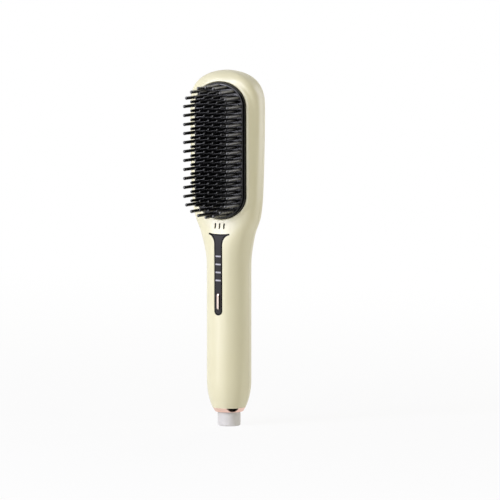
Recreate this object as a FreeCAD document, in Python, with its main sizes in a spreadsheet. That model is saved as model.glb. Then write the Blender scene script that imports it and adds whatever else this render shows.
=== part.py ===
# Electric pet comb: a hand-held heated bristle comb with a cream two-shell body, a black comb insert,
# an inlaid control strip and a swivelling cord gland at the foot of the handle.
# Frame: +Z runs up the handle to the head, the pins face -Y, the origin is the gland's lower face.
# A depth is a distance in front of the handle's axis, so a depth d lies at y = -d.
import FreeCAD, Part
import Sketcher
import math
import os
import re

doc = FreeCAD.newDocument("electric_pet_comb")
sheet = doc.addObject("Spreadsheet::Sheet", "sizes")

# Driving dimensions in millimetres, apart from the counts and the two squareness exponents.
SIZES = (
    ("handle_diameter", 28.0, "round handle"),
    ("grip_length", 75.0, "plain handle, from the neck to its rounded foot"),
    ("head_width", 49.2, "head at its widest"),
    ("head_taper", 2.8, "head's loss of width down to the neck"),
    ("head_depth", 19.0, "head, front to back"),
    ("head_forward", 1.8, "middle of the head in front of the handle's axis"),
    ("head_length", 80.0, "top of the head to the start of the neck"),
    ("neck_length", 40.0, "neck, from the head to the plain handle"),
    ("crown_height", 20.0, "rounded top of the head, seen from the front"),
    ("crown_edge", 9.0, "rounded top of the head, seen from the side"),
    ("tail_length", 17.3, "rounded foot of the handle"),
    ("foot_diameter", 20.9, "handle where it meets the end ring"),
    ("wall", 2.0, "shell wall"),
    ("head_squareness", 4.0, "exponent of the head's section"),
    ("crown_squareness", 2.1, "exponent of the head's rounded top"),
    ("floor_thick", 3.0, "shells' floor at the foot"),
    ("ring_height", 2.7, "end ring"),
    ("ring_foot", 17.89, "end ring at its lower face"),
    ("ring_edge", 0.8, "rounding of the end ring's lower edge"),
    ("ring_spigot", 1.5, "end ring's spigot in the shells"),
    ("ring_spigot_wall", 1.5, "wall of that spigot"),
    ("fit_gap", 0.1, "clearance of fixed fits"),
    ("overrun", 40.0, "length by which cutters pass the wall"),
    ("comb_side", 6.35, "side of the head to the comb's window"),
    ("comb_end", 15.0, "height of the window's rounded ends"),
    ("comb_border", 6.9, "top of the head to the window"),
    ("comb_foot", 13.1, "window below the start of the neck"),
    ("comb_rows", 11, "pins in a straight side row"),
    ("comb_columns", 5, "columns from the middle to a side row"),
    ("comb_rise", 1.7, "comb face in front of the head"),
    ("comb_gap", 0.25, "comb frame to the window"),
    ("comb_edge", 1.7, "rounded rim of the comb frame"),
    ("frame_rim", 3.8, "comb frame, outside to its opening"),
    ("seat_drop", 5.1, "comb seat behind the head's front"),
    ("seat_width", 3.0, "comb seat round the window"),
    ("flange_width", 1.5, "comb frame's flange behind the seat"),
    ("flange_thick", 1.5, "comb frame's flange"),
    ("lug_diameter", 5.6, "screw lugs of the comb frame"),
    ("lug_inset", 4.25, "lugs inside the window's half width"),
    ("lug_drop", 3.4, "lugs below the window's end"),
    ("pin_inset", 2.85, "outer pins inside the window's side"),
    ("pin_end_inset", 2.6, "outer pins inside the window's ends"),
    ("pin_length", 17.0, "outer pins, comb face to tip"),
    ("pin_root", 2.2, "outer pins at the foot"),
    ("pin_neck", 1.95, "outer pins below the ball"),
    ("pin_ball", 2.15, "ball tips"),
    ("tooth_length", 13.5, "heated teeth, comb face to tip"),
    ("tooth_root", 2.3, "heated teeth at the foot"),
    ("tooth_tip", 1.8, "heated teeth at the rounded tip"),
    ("spigot_diameter", 1.2, "spigots of pins and teeth"),
    ("spigot_length", 1.6, "spigots of pins and teeth"),
    ("spigot_gap", 0.03, "spigots in their sockets"),
    ("plate_gap", 0.15, "heating plate in the frame's opening"),
    ("plate_front", 2.5, "heating plate in front of its flange"),
    ("plate_flange", 2.0, "heating plate's flange, thickness"),
    ("plate_lap", 1.25, "heating plate's flange behind the rim"),
    ("heater_width", 12.0, "heater"),
    ("heater_margin", 10.2, "heater to the plate's ends"),
    ("heater_thick", 2.5, "heater"),
    ("insulator_thick", 0.5, "insulating sheet behind the heater"),
    ("clamp_width", 14.0, "heater clamp"),
    ("clamp_thick", 0.8, "heater clamp"),
    ("clamp_boss", 6.0, "plate bosses under the clamp"),
    ("clamp_margin", 2.6, "clamp past its screws"),
    ("shield_inset", 8.6, "side of the head to the heat shield"),
    ("shield_end", 7.6, "heat shield past the straight rows"),
    ("shield_thick", 1.0, "heat shield"),
    ("shield_gap", 3.0, "heat shield to the rear shell"),
    ("shield_post", 4.0, "posts under the heat shield"),
    ("shield_pin", 1.8, "pins through the heat shield"),
    ("sensor_diameter", 2.4, "thermistor"),
    ("sensor_length", 5.0, "thermistor"),
    ("fuse_diameter", 2.6, "thermal fuse"),
    ("fuse_length", 11.0, "thermal fuse"),
    ("screw_diameter", 1.8, "small screws"),
    ("screw_head", 3.4, "small screws"),
    ("screw_head_height", 1.3, "small screws"),
    ("screw_grip", 3.0, "small screws, thread in their boss"),
    ("slot_count", 3, "vents below the comb"),
    ("slot_width", 1.1, "vents"),
    ("slot_length", 3.7, "vents"),
    ("slot_pitch", 3.1, "vents"),
    ("slot_drop", 17.25, "start of the neck to the middle of the vents"),
    ("strip_drop", 22.8, "start of the neck to the control strip"),
    ("strip_length", 50.5, "control strip"),
    ("strip_width", 5.6, "control strip"),
    ("strip_thick", 1.0, "control strip"),
    ("strip_gap", 0.06, "control strip in its recess"),
    ("flare_width", 4.5, "flare at the control strip's top, each side"),
    ("flare_height", 6.3, "flare at the control strip's top"),
    ("flare_lip", 1.0, "edge of the flare's tips"),
    ("flare_dip", 0.6, "hollow of the flare's top edge"),
    ("bar_count", 4, "indicator bars"),
    ("bar_width", 3.6, "indicator bars"),
    ("bar_height", 0.9, "indicator bars"),
    ("bar_pitch", 5.05, "indicator bars"),
    ("bar_rise", 13.25, "middle of the button to the lowest bar"),
    ("guide_width", 5.6, "light guide behind the wall"),
    ("guide_thick", 1.4, "light guide behind the wall"),
    ("button_width", 2.9, "power button"),
    ("button_length", 10.6, "power button"),
    ("button_foot", 8.7, "foot of the strip to the button's middle"),
    ("button_rise", 0.45, "power button above the strip"),
    ("button_edge", 0.4, "rounding of the button's rim"),
    ("button_gap", 0.1, "power button in its opening"),
    ("button_flange", 0.9, "power button's flange, width"),
    ("button_flange_thick", 1.0, "power button's flange"),
    ("button_slack", 0.4, "flange behind the wall's crown"),
    ("board_width", 16.0, "control board"),
    ("board_thick", 1.6, "control board"),
    ("board_set", 7.5, "control board behind the handle's front"),
    ("board_overhang", 6.0, "control board above the strip"),
    ("post_diameter", 4.6, "board posts"),
    ("post_inset", 2.6, "board posts from the board's ends"),
    ("post_across", 6.2, "upper board posts from the middle"),
    ("post_drop", 11.6, "middle of the button to the lower board post"),
    ("switch_size", 6.0, "tactile switch"),
    ("switch_height", 3.4, "tactile switch"),
    ("plunger_diameter", 3.0, "switch plunger"),
    ("plunger_stroke", 0.9, "room under the switch plunger"),
    ("plunger_hold", 0.9, "plunger inside the switch"),
    ("led_width", 3.0, "indicator lamps"),
    ("led_height", 1.4, "indicator lamps"),
    ("led_thick", 1.1, "indicator lamps"),
    ("triac_width", 8.0, "triac"),
    ("triac_height", 9.0, "triac"),
    ("triac_thick", 2.8, "triac"),
    ("capacitor_width", 7.0, "film capacitor"),
    ("capacitor_height", 9.0, "film capacitor"),
    ("capacitor_thick", 6.0, "film capacitor"),
    ("ion_width", 8.0, "ion generator"),
    ("ion_height", 12.0, "ion generator"),
    ("ion_thick", 6.5, "ion generator"),
    ("part_space", 4.0, "board's ends to its parts, past the screw heads"),
    ("emitter_width", 7.2, "ion emitter's holder"),
    ("emitter_height", 2.4, "ion emitter's holder"),
    ("emitter_thick", 1.6, "ion emitter's holder"),
    ("needle_diameter", 0.6, "emitter needles"),
    ("needle_length", 1.6, "emitter needles"),
    ("shell_screw", 2.4, "shell screws"),
    ("shell_screw_head", 4.4, "shell screws"),
    ("shell_screw_head_height", 1.6, "shell screws"),
    ("shell_screw_length", 9.0, "shell screws"),
    ("boss_diameter", 6.0, "screw bosses of the front shell"),
    ("boss_plane", 4.0, "screw bosses' joint behind the axis"),
    ("boss_floor", 2.0, "floor under the screw heads"),
    ("boss_across", 11.5, "upper shell screws from the middle"),
    ("boss_top_drop", 21.0, "start of the neck to the upper shell screws"),
    ("boss_low_drop", 13.2, "foot of the board to the lower shell screw"),
    ("plug_diameter", 5.2, "screw plugs"),
    ("bore_wall", 1.2, "wall round the screw plugs"),
    ("gland_diameter", 14.4, "cord gland"),
    ("gland_reach", 8.9, "cord gland below the end ring"),
    ("gland_edge", 0.9, "rounding of the gland's lower edge"),
    ("gland_bore", 6.4, "cord inlet"),
    ("gland_bore_depth", 14.0, "cord inlet"),
    ("gland_gap", 0.25, "gland in the end ring"),
    ("neck_diameter", 12.0, "gland's running neck"),
    ("running_gap", 0.08, "running fits of the gland"),
    ("flange_diameter", 17.0, "gland's retaining flange"),
    ("flange_height", 2.0, "gland's retaining flange"),
    ("end_play", 0.15, "retaining flange, above and below"),
    ("web_height", 1.8, "web over the retaining flange"),
    ("core_diameter", 7.0, "gland's core"),
    ("core_bore", 4.0, "gland's core, for the conductors"),
    ("slip_ring_wall", 0.8, "slip rings"),
    ("slip_ring_height", 3.0, "slip rings"),
    ("slip_ring_pitch", 6.0, "slip rings"),
    ("slip_ring_rise", 3.0, "web to the lower slip ring"),
    ("core_end", 3.0, "core above the upper slip ring"),
    ("holder_width", 8.0, "contact holder"),
    ("holder_thick", 2.0, "contact holder"),
    ("leaf_thick", 0.4, "contact leaves"),
    ("leaf_height", 2.2, "contact leaves"),
    ("leaf_span", 6.4, "contact leaves"),
    ("leaf_gap", 0.1, "contact leaves to the slip rings"),
    ("leaf_stand", 0.8, "contact leaves in front of their holder"),
    ("lead_diameter", 1.6, "mains and heater leads"),
    ("lead_across", 5.6, "mains leads from the middle"),
    ("lead_gap", 0.06, "leads to the faces that they lie on"),
    ("sensor_lead", 1.2, "twin lead of the thermistor"),
)
for row, (alias, number, note) in enumerate(SIZES, start=1):
    sheet.set(f"A{row}", note)
    sheet.set(f"B{row}", str(number))
    sheet.setAlias(f"B{row}", alias)
doc.recompute()
ALIASES = {entry[0] for entry in SIZES}

# Places that several sub-parts share, each worked out from the sheet.
PLACES = {
    "tail_foot": "gland_reach + ring_height",
    "tail_reach": "tail_length / sqrt(1 - (foot_diameter / handle_diameter) ^ 2)",
    "neck_top": "tail_foot + tail_length + grip_length + neck_length",
    "head_top": "neck_top + head_length",
    "head_front": "head_forward + head_depth / 2",
    "head_back": "head_depth / 2 - head_forward",
    "floor_top": "tail_foot + floor_thick",
    "handle_front": "handle_diameter / 2",
    "inner_front": "handle_front - wall",
    "comb_width": "head_width - 2 * comb_side",
    "comb_straight": "head_length + comb_foot - comb_border - 2 * comb_end",
    "comb_pitch": "comb_straight / (comb_rows - 1)",
    "column_pitch": "(comb_width / 2 - pin_inset) / comb_columns",
    "comb_middle": "head_top - comb_border - comb_end - comb_straight / 2",
    "comb_face": "head_front + comb_rise",
    "comb_seat": "head_front - seat_drop",
    "flange_back": "comb_seat - flange_thick",
    "frame_half": "comb_width / 2 - comb_gap",
    "frame_end": "comb_end - comb_gap",
    "opening_half": "frame_half - frame_rim",
    "opening_end": "frame_end - frame_rim",
    "plate_half": "opening_half - plate_gap",
    "plate_end": "opening_end - plate_gap",
    "plate_step": "comb_face - plate_front",
    "plate_back": "plate_step - plate_flange",
    "heater_length": "comb_straight + 2 * (plate_end - heater_margin)",
    "heater_back": "plate_back - heater_thick",
    "clamp_front": "heater_back - insulator_thick",
    "clamp_back": "clamp_front - clamp_thick",
    "clamp_reach": "heater_length / 2 + clamp_boss / 2 + lead_diameter",
    "lug_x": "comb_width / 2 - lug_inset",
    "lug_z": "comb_straight / 2 + comb_end - lug_drop",
    "shield_width": "head_width - 2 * shield_inset",
    "shield_length": "comb_straight + 2 * shield_end",
    "shield_back": "wall - head_back + shield_gap",
    "shield_post_x": "shield_width / 2 - shield_post",
    "shield_post_z": "shield_length / 2 - shield_post",
    "sensor_x": "opening_half - sensor_diameter",
    "fuse_x": "clamp_width / 2 + fuse_diameter / 2 + lead_diameter / 2",
    "strip_top": "neck_top - strip_drop",
    "strip_foot": "strip_top - strip_length",
    "button_middle": "strip_foot + button_foot",
    "bar_low": "button_middle + bar_rise",
    "bar_middle": "bar_low + (bar_count - 1) * bar_pitch / 2",
    "bar_span": "(bar_count - 1) * bar_pitch + bar_height",
    "guide_front": "sqrt(inner_front ^ 2 - guide_width ^ 2 / 4) - fit_gap",
    "guide_back": "guide_front - guide_thick",
    "button_back": "inner_front - button_slack - button_flange_thick",
    "board_front": "handle_front - board_set",
    "board_back": "board_front - board_thick",
    "board_top": "strip_top + board_overhang",
    "board_foot": "button_middle - post_drop - post_inset",
    "triac_foot": "board_foot + part_space + screw_head",
    "ion_top": "board_top - part_space - 2 * screw_head",
    "capacitor_middle": "(triac_foot + triac_height + ion_top - ion_height) / 2",
    "switch_front": "board_front + switch_height",
    "slot_middle": "neck_top - slot_drop",
    "boss_top_z": "neck_top - boss_top_drop",
    "boss_low_z": "board_foot - boss_low_drop",
    "screw_seat": "boss_plane + boss_floor",
    "flange_low": "floor_top + end_play",
    "web_low": "flange_low + flange_height + end_play",
    "web_top": "web_low + web_height",
    "ring_low": "web_top + slip_ring_rise",
    "core_top": "ring_low + slip_ring_pitch + slip_ring_height + core_end",
    "slip_ring_radius": "core_diameter / 2 + slip_ring_wall",
    "leaf_front": "0 - slip_ring_radius - leaf_gap",
    "holder_front": "leaf_front - leaf_thick - leaf_stand",
    "lead_on_board": "board_back - lead_diameter / 2 - lead_gap",
}


def ex(text):
    """An expression of the document, from one written with aliases and places."""
    def word(match):
        name = match.group(0)
        if name in PLACES:
            return "(" + ex(PLACES[name]) + ")"
        if name in ALIASES:
            return "sizes." + name
        return name
    return re.sub(r"[a-z_]+", word, text)


def value(text):
    """The number that such an expression gives now."""
    return float(sheet.evalExpression(ex(text)))


def bind(thing, **expressions):
    for name, text in expressions.items():
        thing.setExpression(name, ex(text))
    return thing


def place(thing, x="0", depth="0", z="0"):
    """Bind a thing's place: across, in front of the axis, and up."""
    thing.setExpression("Placement.Base.x", ex(x))
    thing.setExpression("Placement.Base.y", ex(f"0 - ({depth})"))
    thing.setExpression("Placement.Base.z", ex(z))
    return thing


def block(label, across, rear, front, low, high, x="0"):
    """A box centred on x, between two depths and two heights."""
    box = doc.addObject("Part::Box", label)
    bind(box, Length=across, Width=f"({front}) - ({rear})", Height=f"({high}) - ({low})")
    return place(box, f"({x}) - ({across}) / 2", front, low)


def post(label, diameter, low, high, x="0", depth="0"):
    """A round bar that stands along the handle."""
    bar = doc.addObject("Part::Cylinder", label)
    bind(bar, Radius=f"({diameter}) / 2", Height=f"({high}) - ({low})")
    return place(bar, x, depth, low)


def rod(label, diameter, x, z, rear, front):
    """A round bar that points to the front, between two depths."""
    bar = doc.addObject("Part::Cylinder", label)
    bind(bar, Radius=f"({diameter}) / 2", Height=f"({front}) - ({rear})")
    bar.Placement.Rotation = FreeCAD.Rotation(FreeCAD.Vector(1, 0, 0), 90)
    return place(bar, x, rear, z)


def fuse(label, *things):
    union = doc.addObject("Part::MultiFuse", label)
    union.Shapes = list(things)
    union.Refine = False
    return union


def both(label, first, second):
    shared = doc.addObject("Part::Common", label)
    shared.Base = first
    shared.Tool = second
    shared.Refine = False
    return shared


def cut(label, base, *tools):
    result = doc.addObject("Part::Cut", label)
    result.Base = base
    result.Tool = tools[0] if len(tools) == 1 else fuse(label + "_cutters", *tools)
    result.Refine = False
    return result


def group(label, *things):
    """Like pieces that share one node, each a solid of its own."""
    compound = doc.addObject("Part::Compound", label)
    compound.Links = list(things)
    return compound


def form(label, shape):
    """A piece whose shape only a formula gives."""
    feature = doc.addObject("Part::Feature", label)
    feature.Shape = shape
    return feature


def oval(label, half_width, half_straight, end, rear, front, x="0", z="comb_middle"):
    """A prism along the depth: straight sides, and ends that are half ovals of a given height."""
    wide, straight, tall = value(half_width), value(half_straight), value(end)
    centre = FreeCAD.Vector(0, 0, straight)
    side = FreeCAD.Vector(wide, 0, straight)
    crest = FreeCAD.Vector(0, 0, straight + tall)
    if wide > tall:
        curve = Part.Ellipse(side, crest, centre)
        arc = curve.trim(0, math.pi)
    elif wide < tall:
        curve = Part.Ellipse(crest, FreeCAD.Vector(-wide, 0, straight), centre)
        arc = curve.trim(-math.pi / 2, math.pi / 2)
    else:
        arc = Part.Arc(side, crest, FreeCAD.Vector(-wide, 0, straight))
    upper = arc.toShape()
    lower = upper.mirror(FreeCAD.Vector(), FreeCAD.Vector(0, 0, 1))
    edges = [upper, lower]
    for edge_x in (-wide, wide):
        foot = FreeCAD.Vector(edge_x, 0, -straight)
        edges.append(Part.LineSegment(foot, FreeCAD.Vector(edge_x, 0, straight)).toShape())
    face = Part.Face(Part.Wire(Part.__sortEdges__(edges)))
    prism = form(label, face.extrude(FreeCAD.Vector(0, value(f"({rear}) - ({front})"), 0)))
    return place(prism, x, rear, z)


def turned(label, outline):
    """A body turned about the handle's axis, from its outline as radii and heights."""
    body = doc.addObject("PartDesign::Body", label)
    sketch = body.newObject("Sketcher::SketchObject", label + "_outline")
    planes = [item for item in body.Origin.OriginFeatures if item.Role == "XZ_Plane"]
    sketch.AttachmentSupport = [(planes[0], "")]
    sketch.MapMode = "FlatFace"
    corners = [FreeCAD.Vector(value(radius), value(height), 0) for radius, height in outline]
    count = len(corners)
    for index in range(count):
        sketch.addGeometry(Part.LineSegment(corners[index], corners[(index + 1) % count]))
    for index in range(count):
        sketch.addConstraint(Sketcher.Constraint("Coincident", index, 2, (index + 1) % count, 1))
    for index, (radius, height) in enumerate(outline):
        for kind, text, axis in (("DistanceX", radius, -2), ("DistanceY", height, -1)):
            if text == "0":
                sketch.addConstraint(Sketcher.Constraint("PointOnObject", index, 1, axis))
            else:
                rule = Sketcher.Constraint(kind, -1, 1, index, 1, value(text))
                number = sketch.addConstraint(rule)
                sketch.setExpression(f"Constraints[{number}]", ex(text))
    turn = body.newObject("PartDesign::Revolution", label + "_turn")
    turn.Profile = sketch
    turn.ReferenceAxis = (sketch, ["V_Axis"])
    turn.Angle = 360
    doc.recompute()
    return body


EDGE_TEST = 1e-6


def round_edges(body, radius, wanted):
    """Round the edges of a body that a test picks."""
    turn = body.Tip
    chosen = [f"Edge{n}" for n, edge in enumerate(turn.Shape.Edges, start=1) if wanted(edge)]
    fillet = body.newObject("PartDesign::Fillet", body.Name + "_rounding")
    fillet.Base = (turn, chosen)
    bind(fillet, Radius=radius)
    body.Tip = fillet
    doc.recompute()
    return body


def screw(label, diameter, head, head_height, length, x, z, seat):
    """A pan-head screw that goes forward, its head behind the seat's depth."""
    thread = rod(label + "_thread", diameter, x, z, seat, f"({seat}) + ({length})")
    cap = rod(label + "_head", head, x, z, f"({seat}) - ({head_height})", seat)
    return fuse(label, thread, cap)


# Housing: oval sections up the handle, round in the handle and squarer in the head. The widths and the
# front and back depths through the neck are shares of the step from the handle to the head, at equal steps.
crown_shares = (0.004, 0.02, 0.06, 0.13, 0.23, 0.36, 0.53, 0.75, 1.0)
neck_width_shares = (1.0, 0.955, 0.885, 0.8, 0.645, 0.42, 0.285, 0.195, 0.12, 0.045, 0.0)
neck_front_shares = (1.0, 1.0, 1.0, 0.985, 0.84, 0.5, 0.16, 0.03, 0.0, 0.0, 0.0)
neck_back_shares = (1.0, 0.975, 0.91, 0.8, 0.64, 0.46, 0.29, 0.16, 0.07, 0.02, 0.0)
HEAD_STEPS = 8
HANDLE_STEPS = 7
TAIL_STEPS = 4
SECTION_POINTS = 24
SEAM_TURN = 5 * math.pi / SECTION_POINTS


def swell(share, exponent):
    """Rise of a rounded end, from 0 at its tip to 1 at its foot."""
    return (1 - (1 - share) ** exponent) ** (1 / exponent)


def housing_sections(inset):
    """Height, half width, half depth, depth of the middle, and squareness of each section."""
    top = value("head_top")
    radius = value("handle_diameter") / 2
    wide, waist = value("head_width") / 2, value("head_width - head_taper") / 2
    deep, forward = value("head_depth") / 2, value("head_forward")
    square, crown_square = value("head_squareness"), value("crown_squareness")
    crown, edge = value("crown_height"), value("crown_edge")
    head, neck = value("head_length"), value("neck_length")
    tail = top - value("tail_foot") - value("tail_length")
    foot = top - value("tail_foot") - value("floor_thick / wall") * inset
    sections = []
    for share in crown_shares:
        drop = inset + share * (crown - inset)
        rounding = min(1.0, (drop - inset) / (edge - inset))
        sections.append((top - drop, (wide - inset) * swell(share, crown_square),
                         (deep - inset) * swell(rounding, 2), forward, square))
    for step in range(1, HEAD_STEPS):
        share = step / HEAD_STEPS
        drop = crown + share * (head - crown)
        sections.append((top - drop, wide + (waist - wide) * share ** 2 - inset, deep - inset, forward,
                         square))
    steps = len(neck_width_shares) - 1
    for step in range(steps + 1):
        front = radius + (deep + forward - radius) * neck_front_shares[step]
        back = radius + (deep - forward - radius) * neck_back_shares[step]
        sections.append((top - head - neck * step / steps,
                         radius + (waist - radius) * neck_width_shares[step] - inset,
                         (front + back) / 2 - inset, (front - back) / 2,
                         2 + (square - 2) * neck_back_shares[step]))
    for step in range(1, HANDLE_STEPS + 1):
        drop = head + neck + (tail - head - neck) * step / HANDLE_STEPS
        sections.append((top - drop, radius - inset, radius - inset, 0.0, 2.0))
    for step in range(1, TAIL_STEPS + 1):
        drop = tail + (foot - tail) * step / TAIL_STEPS
        shrunk = radius * math.sqrt(1 - ((drop - tail) / value("tail_reach")) ** 2) - inset
        sections.append((top - drop, shrunk, shrunk, 0.0, 2.0))
    return sections


def housing(label, inset):
    """The housing's outer form, or the same form drawn in by an inset. Its seam is behind one side."""
    wires = []
    for height, wide, deep, forward, square in housing_sections(value(inset)):
        points = []
        for index in range(SECTION_POINTS):
            angle = SEAM_TURN + 2 * math.pi * index / SECTION_POINTS
            across, along = math.cos(angle), math.sin(angle)
            reach = (abs(across) ** square + abs(along) ** square) ** (-1 / square)
            points.append(FreeCAD.Vector(wide * reach * across, deep * reach * along - forward, height))
        curve = Part.BSplineCurve()
        steps = [float(index) for index in range(SECTION_POINTS + 1)]
        curve.interpolate(Points=points, PeriodicFlag=True, Parameters=steps)
        wires.append(Part.Wire([curve.toShape()]))
    return form(label, Part.makeLoft(wires, True, False))


outer_form = housing("outer_form", "0")
inner_form = housing("inner_form", "wall")
middle_form = housing("middle_form", "wall / 2")
recess_form = housing("recess_form", "strip_thick")
strip_back_form = housing("strip_back_form", "strip_thick - strip_gap")


def half(label, rear, front):
    return block(label, "head_width + overrun", rear, front, "0 - overrun", "head_top + overrun")


# Pull of a curve's two handles that makes it a quarter of an oval.
OVAL_PULL = 0.5523


def strip_prism(label, gap):
    """The control strip's outline, flared at its top, as a prism through the front wall."""
    half_width = value(f"strip_width / 2 + ({gap})")
    tip = value(f"strip_width / 2 + flare_width + ({gap})")
    lip = value(f"flare_lip + ({gap})")
    dip = value("flare_dip")
    under = value(f"0 - ({gap})")
    bend = value("0 - flare_height")
    length = value(f"strip_length + ({gap})")
    pull_across = tip - OVAL_PULL * value(f"flare_width - ({gap})")
    pull_along = bend + OVAL_PULL * value(f"flare_height - ({gap})")

    def arc(*corners):
        return Part.Arc(*[FreeCAD.Vector(across, 0, height) for across, height in corners]).toShape()

    def line(*corners):
        return Part.LineSegment(*[FreeCAD.Vector(across, 0, height) for across, height in corners]).toShape()

    def sweep(*corners):
        curve = Part.BezierCurve()
        curve.setPoles([FreeCAD.Vector(across, 0, height) for across, height in corners])
        return curve.toShape()

    edges = [arc((-tip, lip), (0, lip - dip), (tip, lip))]
    for side in (-1, 1):
        edges.append(line((side * tip, lip), (side * tip, under)))
        edges.append(sweep((side * tip, under), (side * pull_across, under), (side * half_width, pull_along),
                           (side * half_width, bend)))
        edges.append(line((side * half_width, bend), (side * half_width, half_width - length)))
    edges.append(arc((-half_width, half_width - length), (0, -length), (half_width, half_width - length)))
    face = Part.Face(Part.Wire(Part.__sortEdges__(edges)))
    prism = form(label, face.extrude(FreeCAD.Vector(0, value("0 - handle_front - overrun"), 0)))
    return place(prism, "0", "0", "strip_top")


def bars(label, gap, rear, front):
    """The row of short bars that light through the strip."""
    row = []
    for index in range(int(value("bar_count"))):
        middle = f"bar_low + {index} * bar_pitch"
        reach = f"(bar_height / 2 + ({gap}))"
        row.append(block(f"{label}_{index + 1}", f"bar_width + 2 * ({gap})", rear, front,
                         f"{middle} - {reach}", f"{middle} + {reach}"))
    return row


LUG_PLACES = [(f"{side} * lug_x", f"comb_middle + {end} * lug_z") for side in (-1, 1) for end in (-1, 1)]
SHELL_SCREW_PLACES = (("0", "boss_low_z"), ("boss_across", "boss_top_z"), ("0 - boss_across", "boss_top_z"))
BOARD_POST_PLACES = (("post_across", "board_top - post_inset"), ("0 - post_across", "board_top - post_inset"),
                     ("0", "board_foot + post_inset"))
SHIELD_POST_PLACES = [(f"{side} * shield_post_x", f"comb_middle + {end} * shield_post_z")
                      for side in (-1, 1) for end in (-1, 1)]
BUTTON_STRAIGHT = "(button_length - button_width) / 2"

# Front shell: wall with a seat round the comb window, screw bosses, board posts and half of the gland's web.
skin = cut("housing_skin", outer_form, inner_form)
front_skin = both("front_skin", skin, half("front_side", "0", "overrun"))
seat = oval("comb_seat_ring", "comb_width / 2 + seat_width", "comb_straight / 2", "comb_end + seat_width",
            "comb_seat", "head_front")
inside = [seat]
pilots = []
for index, (lug_x, lug_z) in enumerate(LUG_PLACES, start=1):
    inside.append(rod(f"comb_boss_{index}", "lug_diameter", lug_x, lug_z, "comb_seat", "head_front"))
    pilots.append(rod(f"comb_pilot_{index}", "screw_diameter + 2 * fit_gap", lug_x, lug_z,
                      "comb_seat - fit_gap",
                      "comb_seat + screw_grip + 2 * fit_gap"))
for index, (boss_x, boss_z) in enumerate(SHELL_SCREW_PLACES, start=1):
    inside.append(rod(f"front_boss_{index}", "boss_diameter", boss_x, boss_z, "0 - boss_plane",
                      "handle_front"))
    pilots.append(rod(f"front_pilot_{index}", "shell_screw + 2 * fit_gap", boss_x, boss_z,
                      "0 - boss_plane - fit_gap",
                      "shell_screw_length - screw_seat + 2 * fit_gap"))
for index, (post_x, post_z) in enumerate(BOARD_POST_PLACES, start=1):
    inside.append(rod(f"board_post_{index}", "post_diameter", post_x, post_z, "board_front", "handle_front"))
    pilots.append(rod(f"board_pilot_{index}", "screw_diameter + 2 * fit_gap", post_x, post_z,
                      "board_front - fit_gap",
                      "board_front + screw_grip + 2 * fit_gap"))
web_disc = post("web_disc", "handle_diameter", "web_low", "web_top")
inside.append(both("front_web", web_disc, half("front_web_side", "0", "handle_front")))
front_blank = fuse("front_blank", front_skin,
                   both("front_inside", fuse("front_fittings", *inside), middle_form))
window = oval("comb_window", "comb_width / 2", "comb_straight / 2", "comb_end", "comb_seat - fit_gap",
              "overrun")
recess = cut("strip_recess", strip_prism("strip_recess_prism", "strip_gap"), recess_form)
vents = []
for index in range(int(value("slot_count"))):
    vents.append(oval(f"vent_{index + 1}", "slot_width / 2", "(slot_length - slot_width) / 2",
                      "slot_width / 2",
                      "board_front", "overrun", f"({index} - (slot_count - 1) / 2) * slot_pitch",
                      "slot_middle"))
button_hole = oval("button_hole", "button_width / 2 + button_gap", BUTTON_STRAIGHT,
                   "button_width / 2 + button_gap",
                   "board_front", "overrun", "0", "button_middle")
gland_hole = post("gland_hole", "neck_diameter + 2 * running_gap", "0", "floor_top + end_play")
spigot_hole = post("spigot_hole", "gland_diameter + 2 * (gland_gap + ring_spigot_wall + fit_gap)", "0",
                   "tail_foot + ring_spigot + fit_gap")
core_hole = post("core_hole", "core_diameter + 2 * running_gap", "web_low - end_play", "web_top + end_play")
cut("front_shell", front_blank, window, recess, button_hole, gland_hole, spigot_hole, core_hole,
    *vents, *bars("bar_hole", "fit_gap", "board_front", "overrun"), *pilots)

# Rear shell: plain back with counterbored screw bosses, posts for the heat shield and the web's other half.
rear_skin = both("rear_skin", skin, half("rear_side", "0 - overrun", "0"))
inside = [both("rear_web", web_disc, half("rear_web_side", "0 - handle_front", "0"))]
openings = []
for index, (boss_x, boss_z) in enumerate(SHELL_SCREW_PLACES, start=1):
    inside.append(rod(f"rear_boss_{index}", "plug_diameter + 2 * (bore_wall + fit_gap)", boss_x, boss_z,
                      "0 - handle_front", "0 - boss_plane"))
    openings.append(rod(f"rear_bore_{index}", "plug_diameter + 2 * fit_gap", boss_x, boss_z, "0 - overrun",
                        "0 - screw_seat"))
    openings.append(rod(f"rear_hole_{index}", "shell_screw + 2 * fit_gap", boss_x, boss_z,
                        "0 - screw_seat - fit_gap",
                        "0 - boss_plane + fit_gap"))
for index, (post_x, post_z) in enumerate(SHIELD_POST_PLACES, start=1):
    inside.append(rod(f"shield_post_{index}", "shield_post", post_x, post_z, "0 - head_back", "shield_back"))
    inside.append(rod(f"shield_pin_{index}", "shield_pin", post_x, post_z, "shield_back - fit_gap",
                      "shield_back + 2 * shield_thick"))
rear_blank = fuse("rear_blank", rear_skin, both("rear_inside", fuse("rear_fittings", *inside), middle_form))
cut("rear_shell", rear_blank, gland_hole, spigot_hole, core_hole, *openings)

# Shell screws and the plugs that close their bores flush with the back.
screws = []
plugs = []
for index, (boss_x, boss_z) in enumerate(SHELL_SCREW_PLACES, start=1):
    screws.append(screw(f"shell_screw_{index}", "shell_screw", "shell_screw_head", "shell_screw_head_height",
                        "shell_screw_length", boss_x, boss_z, "0 - screw_seat"))
    plugs.append(both(f"screw_plug_{index}", outer_form,
                      rod(f"screw_plug_bar_{index}", "plug_diameter", boss_x, boss_z, "0 - overrun",
                          "0 - screw_seat - shell_screw_head_height")))
group("shell_screws", *screws)
group("screw_plugs", *plugs)

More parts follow.
